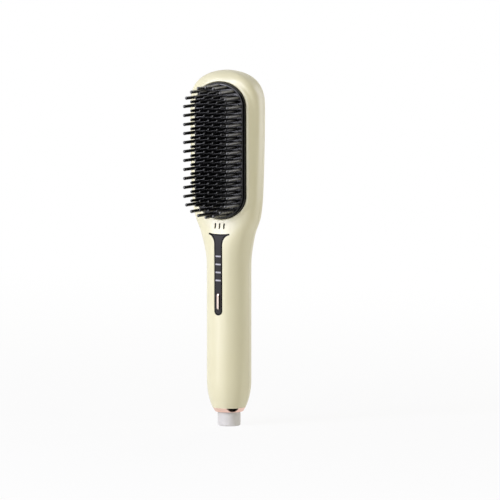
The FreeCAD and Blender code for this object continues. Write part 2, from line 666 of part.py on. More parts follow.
# Comb frame: black ring in the window with a rounded rim, a flange behind the seat and four screw lugs.
frame_ring = oval("frame_ring", "frame_half", "comb_straight / 2", "frame_end", "comb_seat", "comb_face")
doc.recompute()
rim = doc.addObject("Part::Fillet", "frame_ring_rounded")
rim.Base = frame_ring
face_y = -value("comb_face")
front_edges = [number for number, edge in enumerate(frame_ring.Shape.Edges, start=1)
               if abs(edge.BoundBox.YMin - face_y) < EDGE_TEST and edge.BoundBox.YLength < EDGE_TEST]
rim.Edges = [(number, value("comb_edge"), value("comb_edge")) for number in front_edges]
frame_flange = oval("frame_flange", "comb_width / 2 + flange_width", "comb_straight / 2",
                    "comb_end + flange_width",
                    "flange_back", "comb_seat")
lugs = [rod(f"frame_lug_{index}", "lug_diameter", lug_x, lug_z, "flange_back", "comb_seat")
        for index, (lug_x, lug_z) in enumerate(LUG_PLACES, start=1)]
lug_holes = [rod(f"frame_lug_hole_{index}", "screw_diameter + 2 * fit_gap", lug_x, lug_z,
                 "flange_back - fit_gap",
                 "comb_seat + fit_gap") for index, (lug_x, lug_z) in enumerate(LUG_PLACES, start=1)]
opening = oval("frame_opening", "opening_half", "comb_straight / 2", "opening_end", "0",
               "comb_face + overrun")
rebate = oval("frame_rebate", "plate_half + plate_lap + plate_gap", "comb_straight / 2",
              "plate_end + plate_lap + plate_gap", "0", "plate_step")
sunk = "comb_face - spigot_length - spigot_gap"
ARC_STEPS = 200


def pin_places():
    """Outer pins: straight side rows, joined by half ovals with about the same pitch."""
    side = value("comb_width / 2 - pin_inset")
    crest = value("comb_end - pin_end_inset")
    straight, pitch = value("comb_straight / 2"), value("comb_pitch")
    places = []
    for index in range(int(value("comb_rows"))):
        places += [(-side, straight - index * pitch), (side, straight - index * pitch)]
    arc = [(side * math.cos(math.pi * step / ARC_STEPS), crest * math.sin(math.pi * step / ARC_STEPS))
           for step in range(ARC_STEPS + 1)]
    runs = [0.0]
    for first, last in zip(arc, arc[1:]):
        runs.append(runs[-1] + math.dist(first, last))
    gaps = round(runs[-1] / pitch)
    for index in range(1, gaps):
        nearest = min(range(ARC_STEPS + 1), key=lambda step: abs(runs[step] - runs[-1] * index / gaps))
        across, along = arc[nearest]
        places += [(across, straight + along), (across, -straight - along)]
    return places


def tooth_places():
    """Heated teeth: columns half a pitch out of step with the next, inside the plate's oval."""
    pitch, column = value("comb_pitch"), value("column_pitch")
    straight = value("comb_straight / 2")
    wide = value("plate_half - tooth_root / 2")
    tall = value("plate_end - tooth_root / 2")
    columns = int(value("comb_columns")) - 1
    rows = int(value("comb_rows"))
    places = []
    for number in range(-columns, columns + 1):
        across = number * column
        stagger_share = 0.0 if (columns - number) % 2 else 0.5
        for row in range(-rows, 2 * rows):
            along = straight - (row + stagger_share) * pitch
            past = max(0.0, abs(along) - straight)
            if (across / wide) ** 2 + (past / tall) ** 2 <= 1:
                places.append((across, along))
    return places


def spread(master, places, depth):
    """Copies of one shape over the comb face, at a depth."""
    copies = []
    for across, along in places:
        copy = master.copy()
        copy.translate(FreeCAD.Vector(across, -depth, value("comb_middle") + along))
        copies.append(copy)
    return Part.makeCompound(copies)


def forward_turn(points, tip):
    """A solid turned about the depth axis: corners as radii and depths, then a rounded tip of a radius."""
    corners = [FreeCAD.Vector(radius, -depth, 0) for radius, depth in points]
    edges = [Part.LineSegment(first, last).toShape() for first, last in zip(corners, corners[1:])]
    end = corners[-1]
    rise = tip - math.sqrt(tip ** 2 - end.x ** 2) if end.x < tip else tip
    crest = FreeCAD.Vector(0, end.y - (2 * tip - rise if end.x < tip else tip), 0)
    centre = FreeCAD.Vector(0, crest.y + tip, 0)
    lean = math.atan2(centre.y - end.y, end.x)
    middle = (lean + math.pi / 2) / 2
    bulge = FreeCAD.Vector(tip * math.cos(middle), centre.y - tip * math.sin(middle), 0)
    edges.append(Part.Arc(end, bulge, crest).toShape())
    edges.append(Part.LineSegment(crest, corners[0]).toShape())
    face = Part.Face(Part.Wire(edges))
    return face.revolve(FreeCAD.Vector(), FreeCAD.Vector(0, 1, 0), 360)


socket = Part.makeCylinder(value("spigot_diameter / 2 + spigot_gap"), value("spigot_length + spigot_gap"),
                           FreeCAD.Vector(), FreeCAD.Vector(0, -1, 0))
frame_sockets = form("frame_sockets", spread(socket, pin_places(), value(sunk)))
cut("comb_frame", fuse("frame_blank", rim, frame_flange, *lugs), opening, rebate, frame_sockets, *lug_holes)
spigot = value("spigot_diameter") / 2
ball = value("pin_ball") / 2
neck = value("pin_neck") / 2
neck_depth = value("pin_length") - ball - math.sqrt(ball ** 2 - neck ** 2)
pin = forward_turn([(0, -value("spigot_length")), (spigot, -value("spigot_length")), (spigot, 0),
                    (value("pin_root") / 2, 0), (neck, neck_depth)], ball)
form("outer_pins", spread(pin, pin_places(), value("comb_face")))

# Heating plate: coated casting in the frame's opening, with a flange behind the rim and bosses for the clamp.
plate_face = oval("plate_face", "plate_half", "comb_straight / 2", "plate_end", "plate_step", "comb_face")
plate_flange = oval("plate_flange_ring", "plate_half + plate_lap", "comb_straight / 2",
                    "plate_end + plate_lap",
                    "plate_back", "plate_step")
CLAMP_PLACES = ("comb_middle + clamp_reach", "comb_middle - clamp_reach")
plate_bosses = [rod(f"plate_boss_{index}", "clamp_boss", "0", boss_z, "clamp_front", "plate_back")
                for index, boss_z in enumerate(CLAMP_PLACES, start=1)]
plate_pilots = [rod(f"plate_pilot_{index}", "screw_diameter + 2 * fit_gap", "0", boss_z,
                    "clamp_front - fit_gap",
                    "clamp_front + screw_grip + 2 * fit_gap")
                for index, boss_z in enumerate(CLAMP_PLACES, start=1)]
plate_sockets = form("plate_sockets", spread(socket, tooth_places(), value(sunk)))
cut("heating_plate", fuse("plate_blank", plate_face, plate_flange, *plate_bosses), plate_sockets,
    *plate_pilots)
tooth_ball = value("tooth_tip") / 2
tooth = forward_turn([(0, -value("spigot_length")), (spigot, -value("spigot_length")), (spigot, 0),
                      (value("tooth_root") / 2, 0), (tooth_ball, value("tooth_length") - tooth_ball)],
                      tooth_ball)
form("heated_teeth", spread(tooth, tooth_places(), value("comb_face")))

# Heater stack behind the plate: heater, insulating sheet, clamp and its screws.
block("ptc_heater", "heater_width", "heater_back", "plate_back", "comb_middle - heater_length / 2",
      "comb_middle + heater_length / 2")
block("heater_insulator", "heater_width", "clamp_front", "heater_back", "comb_middle - heater_length / 2",
      "comb_middle + heater_length / 2")
clamp_blank = block("clamp_blank", "clamp_width", "clamp_back", "clamp_front",
                    "comb_middle - clamp_reach - clamp_margin", "comb_middle + clamp_reach + clamp_margin")
clamp_holes = [rod(f"clamp_hole_{index}", "screw_diameter + 2 * fit_gap", "0", boss_z, "clamp_back - fit_gap",
                   "clamp_front + fit_gap") for index, boss_z in enumerate(CLAMP_PLACES, start=1)]
cut("heater_clamp", clamp_blank, *clamp_holes)
group("clamp_screws", *[screw(f"clamp_screw_{index}", "screw_diameter", "screw_head", "screw_head_height",
                              "clamp_thick + screw_grip", "0", boss_z, "clamp_back")
                        for index, boss_z in enumerate(CLAMP_PLACES, start=1)])
group("comb_screws", *[screw(f"comb_screw_{index}", "screw_diameter", "screw_head", "screw_head_height",
                             "flange_thick + screw_grip", lug_x, lug_z, "flange_back")
                       for index, (lug_x, lug_z) in enumerate(LUG_PLACES, start=1)])

# Heat sensors against the back of the plate.
sensor_depth = "plate_back - sensor_diameter / 2 - lead_gap"
post("thermistor", "sensor_diameter", "comb_middle - sensor_length", "comb_middle", "0 - sensor_x",
     sensor_depth)
fuse_depth = "plate_back - fuse_diameter / 2 - lead_gap"
post("thermal_fuse", "fuse_diameter", "comb_middle - fuse_length", "comb_middle", "fuse_x", fuse_depth)

# Heat shield: sheet on the rear shell's posts, between the heater and the back.
shield_blank = block("shield_blank", "shield_width", "shield_back", "shield_back + shield_thick",
                     "comb_middle - shield_length / 2", "comb_middle + shield_length / 2")
shield_holes = [rod(f"shield_hole_{index}", "shield_pin + 2 * fit_gap", post_x, post_z,
                    "shield_back - fit_gap",
                    "shield_back + shield_thick + fit_gap")
                for index, (post_x, post_z) in enumerate(SHIELD_POST_PLACES, start=1)]
cut("heat_shield", shield_blank, *shield_holes)

# Control strip: charcoal inlay flush with the handle, open for the button and the bars.
strip_hole = oval("strip_button_hole", "button_width / 2 + button_gap", BUTTON_STRAIGHT,
                  "button_width / 2 + button_gap", "0", "overrun", "0", "button_middle")
strip_blank = both("strip_blank", outer_form, strip_prism("strip_prism", "0"))
cut("control_strip", strip_blank, strip_back_form, strip_hole,
    *bars("strip_bar_hole", "fit_gap", "0", "overrun"))

# Light guide: a clear bar behind the wall whose four bars reach the strip's face.
guide_back = block("guide_plate", "guide_width", "guide_back", "guide_front",
                   "bar_middle - bar_span / 2 - bar_height",
                   "bar_middle + bar_span / 2 + bar_height")
guide_fingers = [both(f"guide_finger_{index}", finger, outer_form)
                 for index, finger in enumerate(bars("guide_bar", "0", "guide_back", "overrun"), start=1)]
fuse("light_guide", guide_back, *guide_fingers)

# Power button: capsule with a rounded rim through the strip, and a flange behind the wall.
cap = oval("button_cap", "button_width / 2", BUTTON_STRAIGHT, "button_width / 2", "button_back",
           "handle_front + button_rise", "0", "button_middle")
doc.recompute()
cap_rounded = doc.addObject("Part::Fillet", "button_cap_rounded")
cap_rounded.Base = cap
cap_y = -value("handle_front + button_rise")
cap_edges = [number for number, edge in enumerate(cap.Shape.Edges, start=1)
             if abs(edge.BoundBox.YMin - cap_y) < EDGE_TEST and edge.BoundBox.YLength < EDGE_TEST]
cap_rounded.Edges = [(number, value("button_edge"), value("button_edge")) for number in cap_edges]
button_flange = oval("button_flange_plate", "button_width / 2 + button_flange", BUTTON_STRAIGHT,
                     "button_width / 2 + button_flange", "button_back", "button_back + button_flange_thick",
                     "0",
                     "button_middle")
fuse("power_button", cap_rounded, button_flange)

# Control board with the parts on its two faces.
board_blank = block("board_blank", "board_width", "board_back", "board_front", "board_foot", "board_top")
board_holes = [rod(f"board_hole_{index}", "screw_diameter + 2 * fit_gap", post_x, post_z,
                   "board_back - fit_gap",
                   "board_front + fit_gap")
               for index, (post_x, post_z) in enumerate(BOARD_POST_PLACES, start=1)]
cut("control_board", board_blank, *board_holes)
group("board_screws", *[screw(f"board_screw_{index}", "screw_diameter", "screw_head", "screw_head_height",
                              "board_thick + screw_grip", post_x, post_z, "board_back")
                        for index, (post_x, post_z) in enumerate(BOARD_POST_PLACES, start=1)])
lamps = []
for index in range(int(value("bar_count"))):
    middle = f"bar_low + {index} * bar_pitch"
    lamps.append(block(f"indicator_lamp_{index + 1}", "led_width", "board_front", "board_front + led_thick",
                       f"{middle} - led_height / 2", f"{middle} + led_height / 2"))
group("indicator_lamps", *lamps)
switch_blank = block("switch_blank", "switch_size", "board_front", "switch_front",
                     "button_middle - switch_size / 2",
                     "button_middle + switch_size / 2")
switch_well = rod("switch_well", "plunger_diameter + 2 * fit_gap", "0", "button_middle",
                  "switch_front - plunger_hold - plunger_stroke", "switch_front + fit_gap")
cut("tactile_switch", switch_blank, switch_well)
rod("switch_plunger", "plunger_diameter", "0", "button_middle", "switch_front - plunger_hold", "button_back")
block("triac", "triac_width", "board_back - triac_thick", "board_back", "triac_foot",
      "triac_foot + triac_height")
block("film_capacitor", "capacitor_width", "board_back - capacitor_thick", "board_back",
      "capacitor_middle - capacitor_height / 2", "capacitor_middle + capacitor_height / 2")
block("ion_generator", "ion_width", "board_back - ion_thick", "board_back", "ion_top - ion_height", "ion_top")
emitter_top = "slot_middle + needle_diameter / 2 + fit_gap"
emitter_holder = block("emitter_holder", "emitter_width", "board_front", "board_front + emitter_thick",
                       emitter_top + " - emitter_height", emitter_top)
needles = [rod(f"emitter_needle_{index + 1}", "needle_diameter",
               f"({index} - (slot_count - 1) / 2) * slot_pitch",
               "slot_middle", "board_front", "board_front + emitter_thick + needle_length")
           for index in range(int(value("slot_count")))]
fuse("ion_emitter", emitter_holder, *needles)

# End ring: plated trim over the shells' foot, with a spigot between them and the gland.
spigot_outside = "gland_diameter / 2 + gland_gap + ring_spigot_wall"
end_ring = turned("end_ring", (
    ("gland_diameter / 2 + gland_gap", "gland_reach"),
    ("ring_foot / 2", "gland_reach"),
    ("foot_diameter / 2", "tail_foot"),
    (spigot_outside, "tail_foot"),
    (spigot_outside, "tail_foot + ring_spigot"),
    ("gland_diameter / 2 + gland_gap", "tail_foot + ring_spigot"),
))
ring_low = value("gland_reach")
round_edges(end_ring, "ring_edge", lambda edge: abs(edge.BoundBox.ZMax - ring_low) < EDGE_TEST
            and edge.BoundBox.XMax > value("gland_diameter / 2 + 2 * gland_gap"))

# Cord gland: swivelling collar with the cord inlet, a running neck, a retaining flange and a core.
collar_top = "tail_foot + ring_spigot - end_play"
cord_gland = turned("cord_gland", (
    ("gland_bore / 2", "0"),
    ("gland_diameter / 2", "0"),
    ("gland_diameter / 2", collar_top),
    ("neck_diameter / 2", collar_top),
    ("neck_diameter / 2", "flange_low"),
    ("flange_diameter / 2", "flange_low"),
    ("flange_diameter / 2", "flange_low + flange_height"),
    ("core_diameter / 2", "flange_low + flange_height"),
    ("core_diameter / 2", "core_top"),
    ("core_bore / 2", "core_top"),
    ("core_bore / 2", "gland_bore_depth"),
    ("gland_bore / 2", "gland_bore_depth"),
))
round_edges(cord_gland, "gland_edge", lambda edge: abs(edge.BoundBox.ZMax) < EDGE_TEST
            and edge.BoundBox.XMax > value("gland_bore"))

# Slip rings on the core, and the sprung leaves that carry current to them.
rings = []
leaves = []
for index in range(2):
    foot = f"ring_low + {index} * slip_ring_pitch"
    sleeve = post(f"slip_ring_sleeve_{index + 1}", "2 * slip_ring_radius", foot, foot + " + slip_ring_height")
    bore = post(f"slip_ring_bore_{index + 1}", "core_diameter + 2 * spigot_gap", foot + " - fit_gap",
                foot + " + slip_ring_height + fit_gap")
    rings.append(cut(f"slip_ring_{index + 1}", sleeve, bore))
    leaf_low = foot + " + (slip_ring_height - leaf_height) / 2"
    leaf = [block(f"leaf_strip_{index + 1}", "leaf_span", "leaf_front - leaf_thick", "leaf_front", leaf_low,
                  leaf_low + " + leaf_height")]
    for side in (-1, 1):
        leaf.append(block(f"leaf_leg_{index + 1}_{'left' if side < 0 else 'right'}", "leaf_thick",
                          "holder_front",
                          "leaf_front", leaf_low, leaf_low + " + leaf_height",
                          f"{side} * (leaf_span - leaf_thick) / 2"))
    leaves.append(fuse(f"contact_leaf_{index + 1}", *leaf))
group("slip_rings", *rings)
group("contact_leaves", *leaves)
block("contact_holder", "holder_width", "holder_front - holder_thick", "holder_front", "web_top", "core_top")


def lead(label, route, diameter):
    """A lead along straight runs joined by tangent arcs, each as large as its two runs allow."""
    points = [FreeCAD.Vector(value(x), -value(depth), value(z)) for x, depth, z in route]
    bend_share = 0.45
    edges = []
    start = points[0]
    for before, corner, after in zip(points, points[1:], points[2:]):
        back, ahead = before - corner, after - corner
        reach = bend_share * min(back.Length, ahead.Length)
        back.normalize()
        ahead.normalize()
        entry, leave = corner + back * reach, corner + ahead * reach
        half_turn = (math.pi - back.getAngle(ahead)) / 2
        radius = reach / math.tan(half_turn)
        towards = back + ahead
        towards.normalize()
        summit = corner + towards * (radius / math.cos(half_turn) - radius)
        edges.append(Part.LineSegment(start, entry).toShape())
        edges.append(Part.Arc(entry, summit, leave).toShape())
        start = leave
    edges.append(Part.LineSegment(start, points[-1]).toShape())
    path = Part.Wire(edges)
    circle = Part.Circle(points[0], points[1] - points[0], value(diameter) / 2)
    return form(label, path.makePipeShell([Part.Wire([circle.toShape()])], True, False))


# Leads: mains from the contact holder to the board, heater and sensor leads from the board to the head.
HOLDER_DEPTH = "holder_front - holder_thick / 2"
LEAD_X = "(holder_width - lead_diameter) / 2 - lead_gap"
BOARD_LEAD_X = "(ion_width + lead_diameter) / 2 + 2 * fit_gap"
HEATER_DEPTH = "plate_back - heater_thick / 2"
SIDE_X = "fuse_x"
BACK_DEPTH = "flange_back - 2 * lead_diameter"
mains = []
heaters = []
for side, name in ((-1, "left"), (1, "right")):
    mains.append(lead(f"mains_lead_{name}", (
        (f"{side} * ({LEAD_X})", HOLDER_DEPTH, "core_top"),
        (f"{side} * ({LEAD_X})", HOLDER_DEPTH, "core_top + 2 * lead_diameter"),
        (f"{side} * lead_across", HOLDER_DEPTH, "(core_top + boss_low_z) / 2"),
        (f"{side} * lead_across", "lead_on_board", "board_foot - lead_diameter"),
        (f"{side} * lead_across", "lead_on_board", "triac_foot"),
    ), "lead_diameter"))
    heater_foot = "comb_middle - heater_length / 2"
    down = [
        (f"{side} * ({SIDE_X})", HEATER_DEPTH, f"{heater_foot} + lead_diameter"),
        (f"{side} * ({SIDE_X})", BACK_DEPTH, "comb_middle - comb_straight / 2 - opening_end + lead_diameter"),
        (f"{side} * ({BOARD_LEAD_X})", BACK_DEPTH, "board_top"),
        (f"{side} * ({BOARD_LEAD_X})", "lead_on_board", "ion_top"),
        (f"{side} * ({BOARD_LEAD_X})", "lead_on_board", "ion_top - ion_height"),
    ]
    if side < 0:
        begin = [("0 - heater_width / 2", HEATER_DEPTH, f"{heater_foot} + 4 * lead_diameter"),
                 (f"0 - {SIDE_X}", HEATER_DEPTH, f"{heater_foot} + 4 * lead_diameter")]
    else:
        begin = [(SIDE_X, HEATER_DEPTH, "comb_middle - fuse_length")]
        heaters.append(lead("heater_link", (
            ("heater_width / 2", HEATER_DEPTH, "comb_middle + 3 * lead_diameter"),
            (SIDE_X, HEATER_DEPTH, "comb_middle + 3 * lead_diameter"),
            (SIDE_X, HEATER_DEPTH, "comb_middle"),
        ), "lead_diameter"))
    heaters.append(lead(f"heater_lead_{name}", begin + down, "lead_diameter"))
group("mains_leads", *mains)
group("heater_leads", *heaters)
SENSOR_BACK = f"{BACK_DEPTH} - lead_diameter"
lead("sensor_lead", (
    ("0 - sensor_x", sensor_depth, "comb_middle - sensor_length"),
    ("0 - sensor_x", sensor_depth, "comb_middle - heater_length / 2 + lead_diameter"),
    ("0 - sensor_x", SENSOR_BACK, "comb_middle - comb_straight / 2 - opening_end + 2 * lead_diameter"),
    ("(sensor_lead - board_width) / 2", SENSOR_BACK, "board_top"),
    ("(sensor_lead - board_width) / 2", "board_back - sensor_lead / 2 - lead_gap",
     "ion_top - ion_height / 2"),
    ("(sensor_lead - board_width) / 2", "board_back - sensor_lead / 2 - lead_gap",
     "ion_top - 1.5 * ion_height"),
), "sensor_lead")

SUB_PARTS = (
    "front_shell", "rear_shell", "shell_screws", "screw_plugs",
    "comb_frame", "outer_pins", "heating_plate", "heated_teeth", "comb_screws",
    "ptc_heater", "heater_insulator", "heater_clamp", "clamp_screws", "thermistor", "thermal_fuse",
    "heat_shield",
    "control_strip", "light_guide", "power_button",
    "control_board", "board_screws", "indicator_lamps", "tactile_switch", "switch_plunger",
    "triac", "film_capacitor", "ion_generator", "ion_emitter",
    "end_ring", "cord_gland", "slip_rings", "contact_holder", "contact_leaves",
    "mains_leads", "heater_leads", "sensor_lead",
)
doc.recompute()
for thing in doc.Objects:
    if "Invalid" in thing.State or "Error" in thing.State:
        raise RuntimeError(f"{thing.Label} failed: {thing.State}")
os.makedirs("parts", exist_ok=True)
for name in SUB_PARTS:
    shape = doc.getObject(name).Shape
    if shape.isNull() or not shape.isValid():
        raise RuntimeError(f"{name} has no valid shape")
    print(name, len(shape.Solids), "solids", round(shape.Volume, 1), "mm3")
for name in SUB_PARTS:
    doc.getObject(name).Shape.exportStep(f"parts/{name}.step")
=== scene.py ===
import math

import bpy
from mathutils import Matrix, Vector


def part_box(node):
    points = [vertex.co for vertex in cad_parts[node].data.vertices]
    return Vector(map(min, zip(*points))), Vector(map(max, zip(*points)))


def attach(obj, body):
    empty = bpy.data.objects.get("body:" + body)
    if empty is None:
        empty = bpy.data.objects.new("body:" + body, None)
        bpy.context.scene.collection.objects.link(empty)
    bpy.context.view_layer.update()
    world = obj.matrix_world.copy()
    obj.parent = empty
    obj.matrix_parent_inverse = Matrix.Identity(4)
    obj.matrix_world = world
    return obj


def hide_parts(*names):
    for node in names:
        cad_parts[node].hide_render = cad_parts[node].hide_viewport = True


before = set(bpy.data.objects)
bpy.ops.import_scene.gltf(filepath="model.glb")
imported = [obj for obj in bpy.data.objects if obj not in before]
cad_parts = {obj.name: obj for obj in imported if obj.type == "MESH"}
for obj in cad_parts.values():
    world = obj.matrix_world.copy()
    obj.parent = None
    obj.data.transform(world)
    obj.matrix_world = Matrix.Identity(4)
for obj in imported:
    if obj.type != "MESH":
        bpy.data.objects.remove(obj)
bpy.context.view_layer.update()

# Housing: two moulded ABS shells that meet on a line round the sides, screwed together from behind.
# Oval sections go up the handle: round in the grip, squarer in the flat head, and drawn in at the foot.
MM = 0.001
HEAD_TOP = 223.9 * MM
HEAD_LENGTH = 80.0 * MM
HEAD_HALF = 24.6 * MM
HEAD_WAIST = 23.2 * MM
HEAD_DEEP = 9.5 * MM
HEAD_FORWARD = 1.8 * MM
HEAD_SQUARENESS = 4.0
HEAD_STEPS = 8
CROWN_HEIGHT = 20.0 * MM
CROWN_EDGE = 9.0 * MM
CROWN_SQUARENESS = 2.1
NECK_LENGTH = 40.0 * MM
GRIP_RADIUS = 14.0 * MM
GRIP_LENGTH = 75.0 * MM
GRIP_STEPS = 7
TAIL_LENGTH = 17.3 * MM
TAIL_STEPS = 8
FOOT_RADIUS = 10.45 * MM
ROUND = 2.0
WALL = 2.0 * MM
FLOOR = 3.0 * MM
SECTION_SIDES = 64
CROWN_SHARES = (0.004, 0.02, 0.06, 0.13, 0.23, 0.36, 0.53, 0.75, 1.0)
NECK_WIDTH_SHARES = (1.0, 0.955, 0.885, 0.8, 0.645, 0.42, 0.285, 0.195, 0.12, 0.045, 0.0)
NECK_FRONT_SHARES = (1.0, 1.0, 1.0, 0.985, 0.84, 0.5, 0.16, 0.03, 0.0, 0.0, 0.0)
NECK_BACK_SHARES = (1.0, 0.975, 0.91, 0.8, 0.64, 0.46, 0.29, 0.16, 0.07, 0.02, 0.0)
NECK_TOP = HEAD_TOP - HEAD_LENGTH
GRIP_TOP = NECK_TOP - NECK_LENGTH
GRIP_FOOT = GRIP_TOP - GRIP_LENGTH
TAIL_FOOT = GRIP_FOOT - TAIL_LENGTH


def swell(share, exponent):
    """Rise of a rounded end, from 0 at its tip to 1 at its foot."""
    return (1 - (1 - share) ** exponent) ** (1 / exponent)


def housing_sections(inset):
    """Height, half width, half depth, middle's depth and squareness of each section, from the top down.

    A squareness of 2 is a plain oval, and a higher one is nearer to a rounded box.
    """
    sections = []
    for share in CROWN_SHARES:
        drop = inset + share * (CROWN_HEIGHT - inset)
        edge = min(1.0, (drop - inset) / (CROWN_EDGE - inset))
        sections.append((HEAD_TOP - drop, (HEAD_HALF - inset) * swell(share, CROWN_SQUARENESS),
                         (HEAD_DEEP - inset) * swell(edge, ROUND), HEAD_FORWARD, HEAD_SQUARENESS))
    for step in range(1, HEAD_STEPS):
        share = step / HEAD_STEPS
        height = HEAD_TOP - CROWN_HEIGHT - share * (HEAD_LENGTH - CROWN_HEIGHT)
        wide = HEAD_HALF + (HEAD_WAIST - HEAD_HALF) * share ** 2
        sections.append((height, wide - inset, HEAD_DEEP - inset, HEAD_FORWARD, HEAD_SQUARENESS))
    for step, wide_share in enumerate(NECK_WIDTH_SHARES):
        front = GRIP_RADIUS + (HEAD_DEEP + HEAD_FORWARD - GRIP_RADIUS) * NECK_FRONT_SHARES[step]
        back = GRIP_RADIUS + (HEAD_DEEP - HEAD_FORWARD - GRIP_RADIUS) * NECK_BACK_SHARES[step]
        wide = GRIP_RADIUS + (HEAD_WAIST - GRIP_RADIUS) * wide_share
        squareness = ROUND + (HEAD_SQUARENESS - ROUND) * NECK_BACK_SHARES[step]
        height = NECK_TOP - NECK_LENGTH * step / (len(NECK_WIDTH_SHARES) - 1)
        sections.append((height, wide - inset, (front + back) / 2 - inset, (front - back) / 2, squareness))
    for step in range(1, GRIP_STEPS + 1):
        height = GRIP_TOP - GRIP_LENGTH * step / GRIP_STEPS
        sections.append((height, GRIP_RADIUS - inset, GRIP_RADIUS - inset, 0.0, ROUND))
    reach = TAIL_LENGTH / math.sqrt(1 - (FOOT_RADIUS / GRIP_RADIUS) ** 2)
    foot = TAIL_LENGTH - FLOOR * inset / WALL
    for step in range(1, TAIL_STEPS + 1):
        drop = foot * step / TAIL_STEPS
        radius = GRIP_RADIUS * math.sqrt(1 - (drop / reach) ** 2) - inset
        sections.append((GRIP_FOOT - drop, radius, radius, 0.0, ROUND))
    return sections


def pick(*chosen):
    """Select these objects and no others, the first as the active one."""
    bpy.ops.object.select_all(action="DESELECT")
    for thing in chosen:
        thing.select_set(True)
    bpy.context.view_layer.objects.active = chosen[0]


def apply(piece, kind, **settings):
    """Add a modifier with its settings and apply it."""
    pick(piece)
    modifier = piece.modifiers.new(kind, kind)
    for name, setting in settings.items():
        setattr(modifier, name, setting)
    bpy.ops.object.modifier_apply(modifier=modifier.name)


def face_outwards(piece):
    """Turn all faces of a closed form outwards."""
    pick(piece)
    bpy.ops.object.mode_set(mode="EDIT")
    bpy.ops.mesh.select_all(action="SELECT")
    bpy.ops.mesh.normals_make_consistent(inside=False)
    bpy.ops.object.mode_set(mode="OBJECT")


def housing(name, inset):
    """The closed housing, or the same form drawn in by an inset: one ring extruded section by section."""
    sections = housing_sections(inset)
    bpy.ops.object.select_all(action="DESELECT")
    bpy.ops.mesh.primitive_circle_add(vertices=SECTION_SIDES, radius=1, location=(0, 0, 0))
    piece = bpy.context.object
    piece.name = name
    bpy.ops.object.mode_set(mode="EDIT")
    bpy.ops.mesh.select_all(action="SELECT")
    for number in range(1, len(sections)):
        bpy.ops.mesh.extrude_region_move(TRANSFORM_OT_translate={"value": (0, 0, -1)})
    bpy.ops.object.mode_set(mode="OBJECT")
    for vertex in piece.data.vertices:
        height, wide, deep, forward, squareness = sections[round(-vertex.co.z)]
        across, along = vertex.co.x, vertex.co.y
        reach = (abs(across) ** squareness + abs(along) ** squareness) ** (-1 / squareness)
        vertex.co = (wide * reach * across, deep * reach * along - forward, height)
    apply(piece, "SUBSURF", levels=1, render_levels=1)
    bpy.ops.object.mode_set(mode="EDIT")
    bpy.ops.mesh.select_all(action="SELECT")
    bpy.ops.mesh.fill_holes(sides=0)
    bpy.ops.object.mode_set(mode="OBJECT")
    face_outwards(piece)
    return piece


outer_form = housing("outer_form", 0.0)
inner_form = housing("inner_form", WALL)

# Front shell: the half of the moulded cream ABS housing that carries the comb, the strip and the board.
# Its wall is open for the comb's window, three vents, four light bars and the button.
# Three screws from behind hold it to the rear shell, and a fine groove shows where the two meet.
COMB_MIDDLE = 173.9 * MM
COMB_STRAIGHT = 56.2 * MM
WINDOW_HALF = 18.25 * MM
WINDOW_END = 15.0 * MM
WINDOW_SIDES = 162
SEAT_DEPTH = 6.2 * MM
SEAT_WIDTH = 3.0 * MM
SEAT_SIDES = 98
LIP_RISE = 0.7 * MM
LIP_FALL = 0.6 * MM
LIP_ROUND = 0.8 * MM
LIP_WIDTH = 2.2 * MM
LIP_STRETCH = 1.9
LIP_STEPS = 6
PAST = 40.0 * MM
SLOT_COUNT = 3
SLOT_MIDDLE = 126.65 * MM
SLOT_WIDTH = 1.1 * MM
SLOT_LENGTH = 3.7 * MM
SLOT_PITCH = 3.1 * MM
SLOT_SIDES = 26
STRIP_TOP = 121.1 * MM
STRIP_LENGTH = 50.5 * MM
STRIP_HALF = 2.8 * MM
STRIP_THICK = 1.0 * MM
STRIP_GAP = 0.1 * MM
FLARE_WIDTH = 4.5 * MM
FLARE_HEIGHT = 6.3 * MM
FLARE_LIP = 1.0 * MM
FLARE_DIP = 0.6 * MM
FLARE_SHRINK = 1.6
FLARE_LIP_SHARE = 0.2
ARC_STEPS = 12
BAR_COUNT = 4
BAR_WIDTH = 3.6 * MM
BAR_HEIGHT = 0.9 * MM
BAR_LOW = 92.55 * MM
BAR_PITCH = 5.05 * MM
BUTTON_MIDDLE = 79.3 * MM
BUTTON_HALF = 1.45 * MM
BUTTON_STRAIGHT = 3.85 * MM
BUTTON_GAP = 0.1 * MM
BUTTON_SIDES = 50
BOARD_FRONT = 6.5 * MM
GROOVE_WIDTH = 0.2 * MM
GROOVE_DEPTH = 0.3 * MM
MERGE = 0.001 * MM


def copy_of(piece, name):
    """A copy with its own mesh."""
    copy = piece.copy()
    copy.data = piece.data.copy()
    copy.name = name
    bpy.context.collection.objects.link(copy)
    return copy


def half_of(piece, keep_front):
    """Cut a closed form on the parting plane, keep one half and close it."""
    pick(piece)
    bpy.ops.object.mode_set(mode="EDIT")
    bpy.ops.mesh.select_all(action="SELECT")
    bpy.ops.mesh.bisect(plane_co=(0, 0, 0), plane_no=(0, 1, 0), use_fill=True,
                        clear_outer=keep_front, clear_inner=not keep_front)
    bpy.ops.object.mode_set(mode="OBJECT")


def carve(piece, tool, operation="DIFFERENCE", keep=False):
    """Combine a piece with a tool by a boolean, and merge the slivers that it leaves."""
    apply(piece, "BOOLEAN", object=tool, operation=operation, solver="EXACT")
    bpy.ops.object.mode_set(mode="EDIT")
    bpy.ops.mesh.select_all(action="SELECT")
    bpy.ops.mesh.remove_doubles(threshold=MERGE)
    bpy.ops.mesh.dissolve_degenerate(threshold=MERGE)
    bpy.ops.object.mode_set(mode="OBJECT")
    if not keep:
        bpy.data.objects.remove(tool)


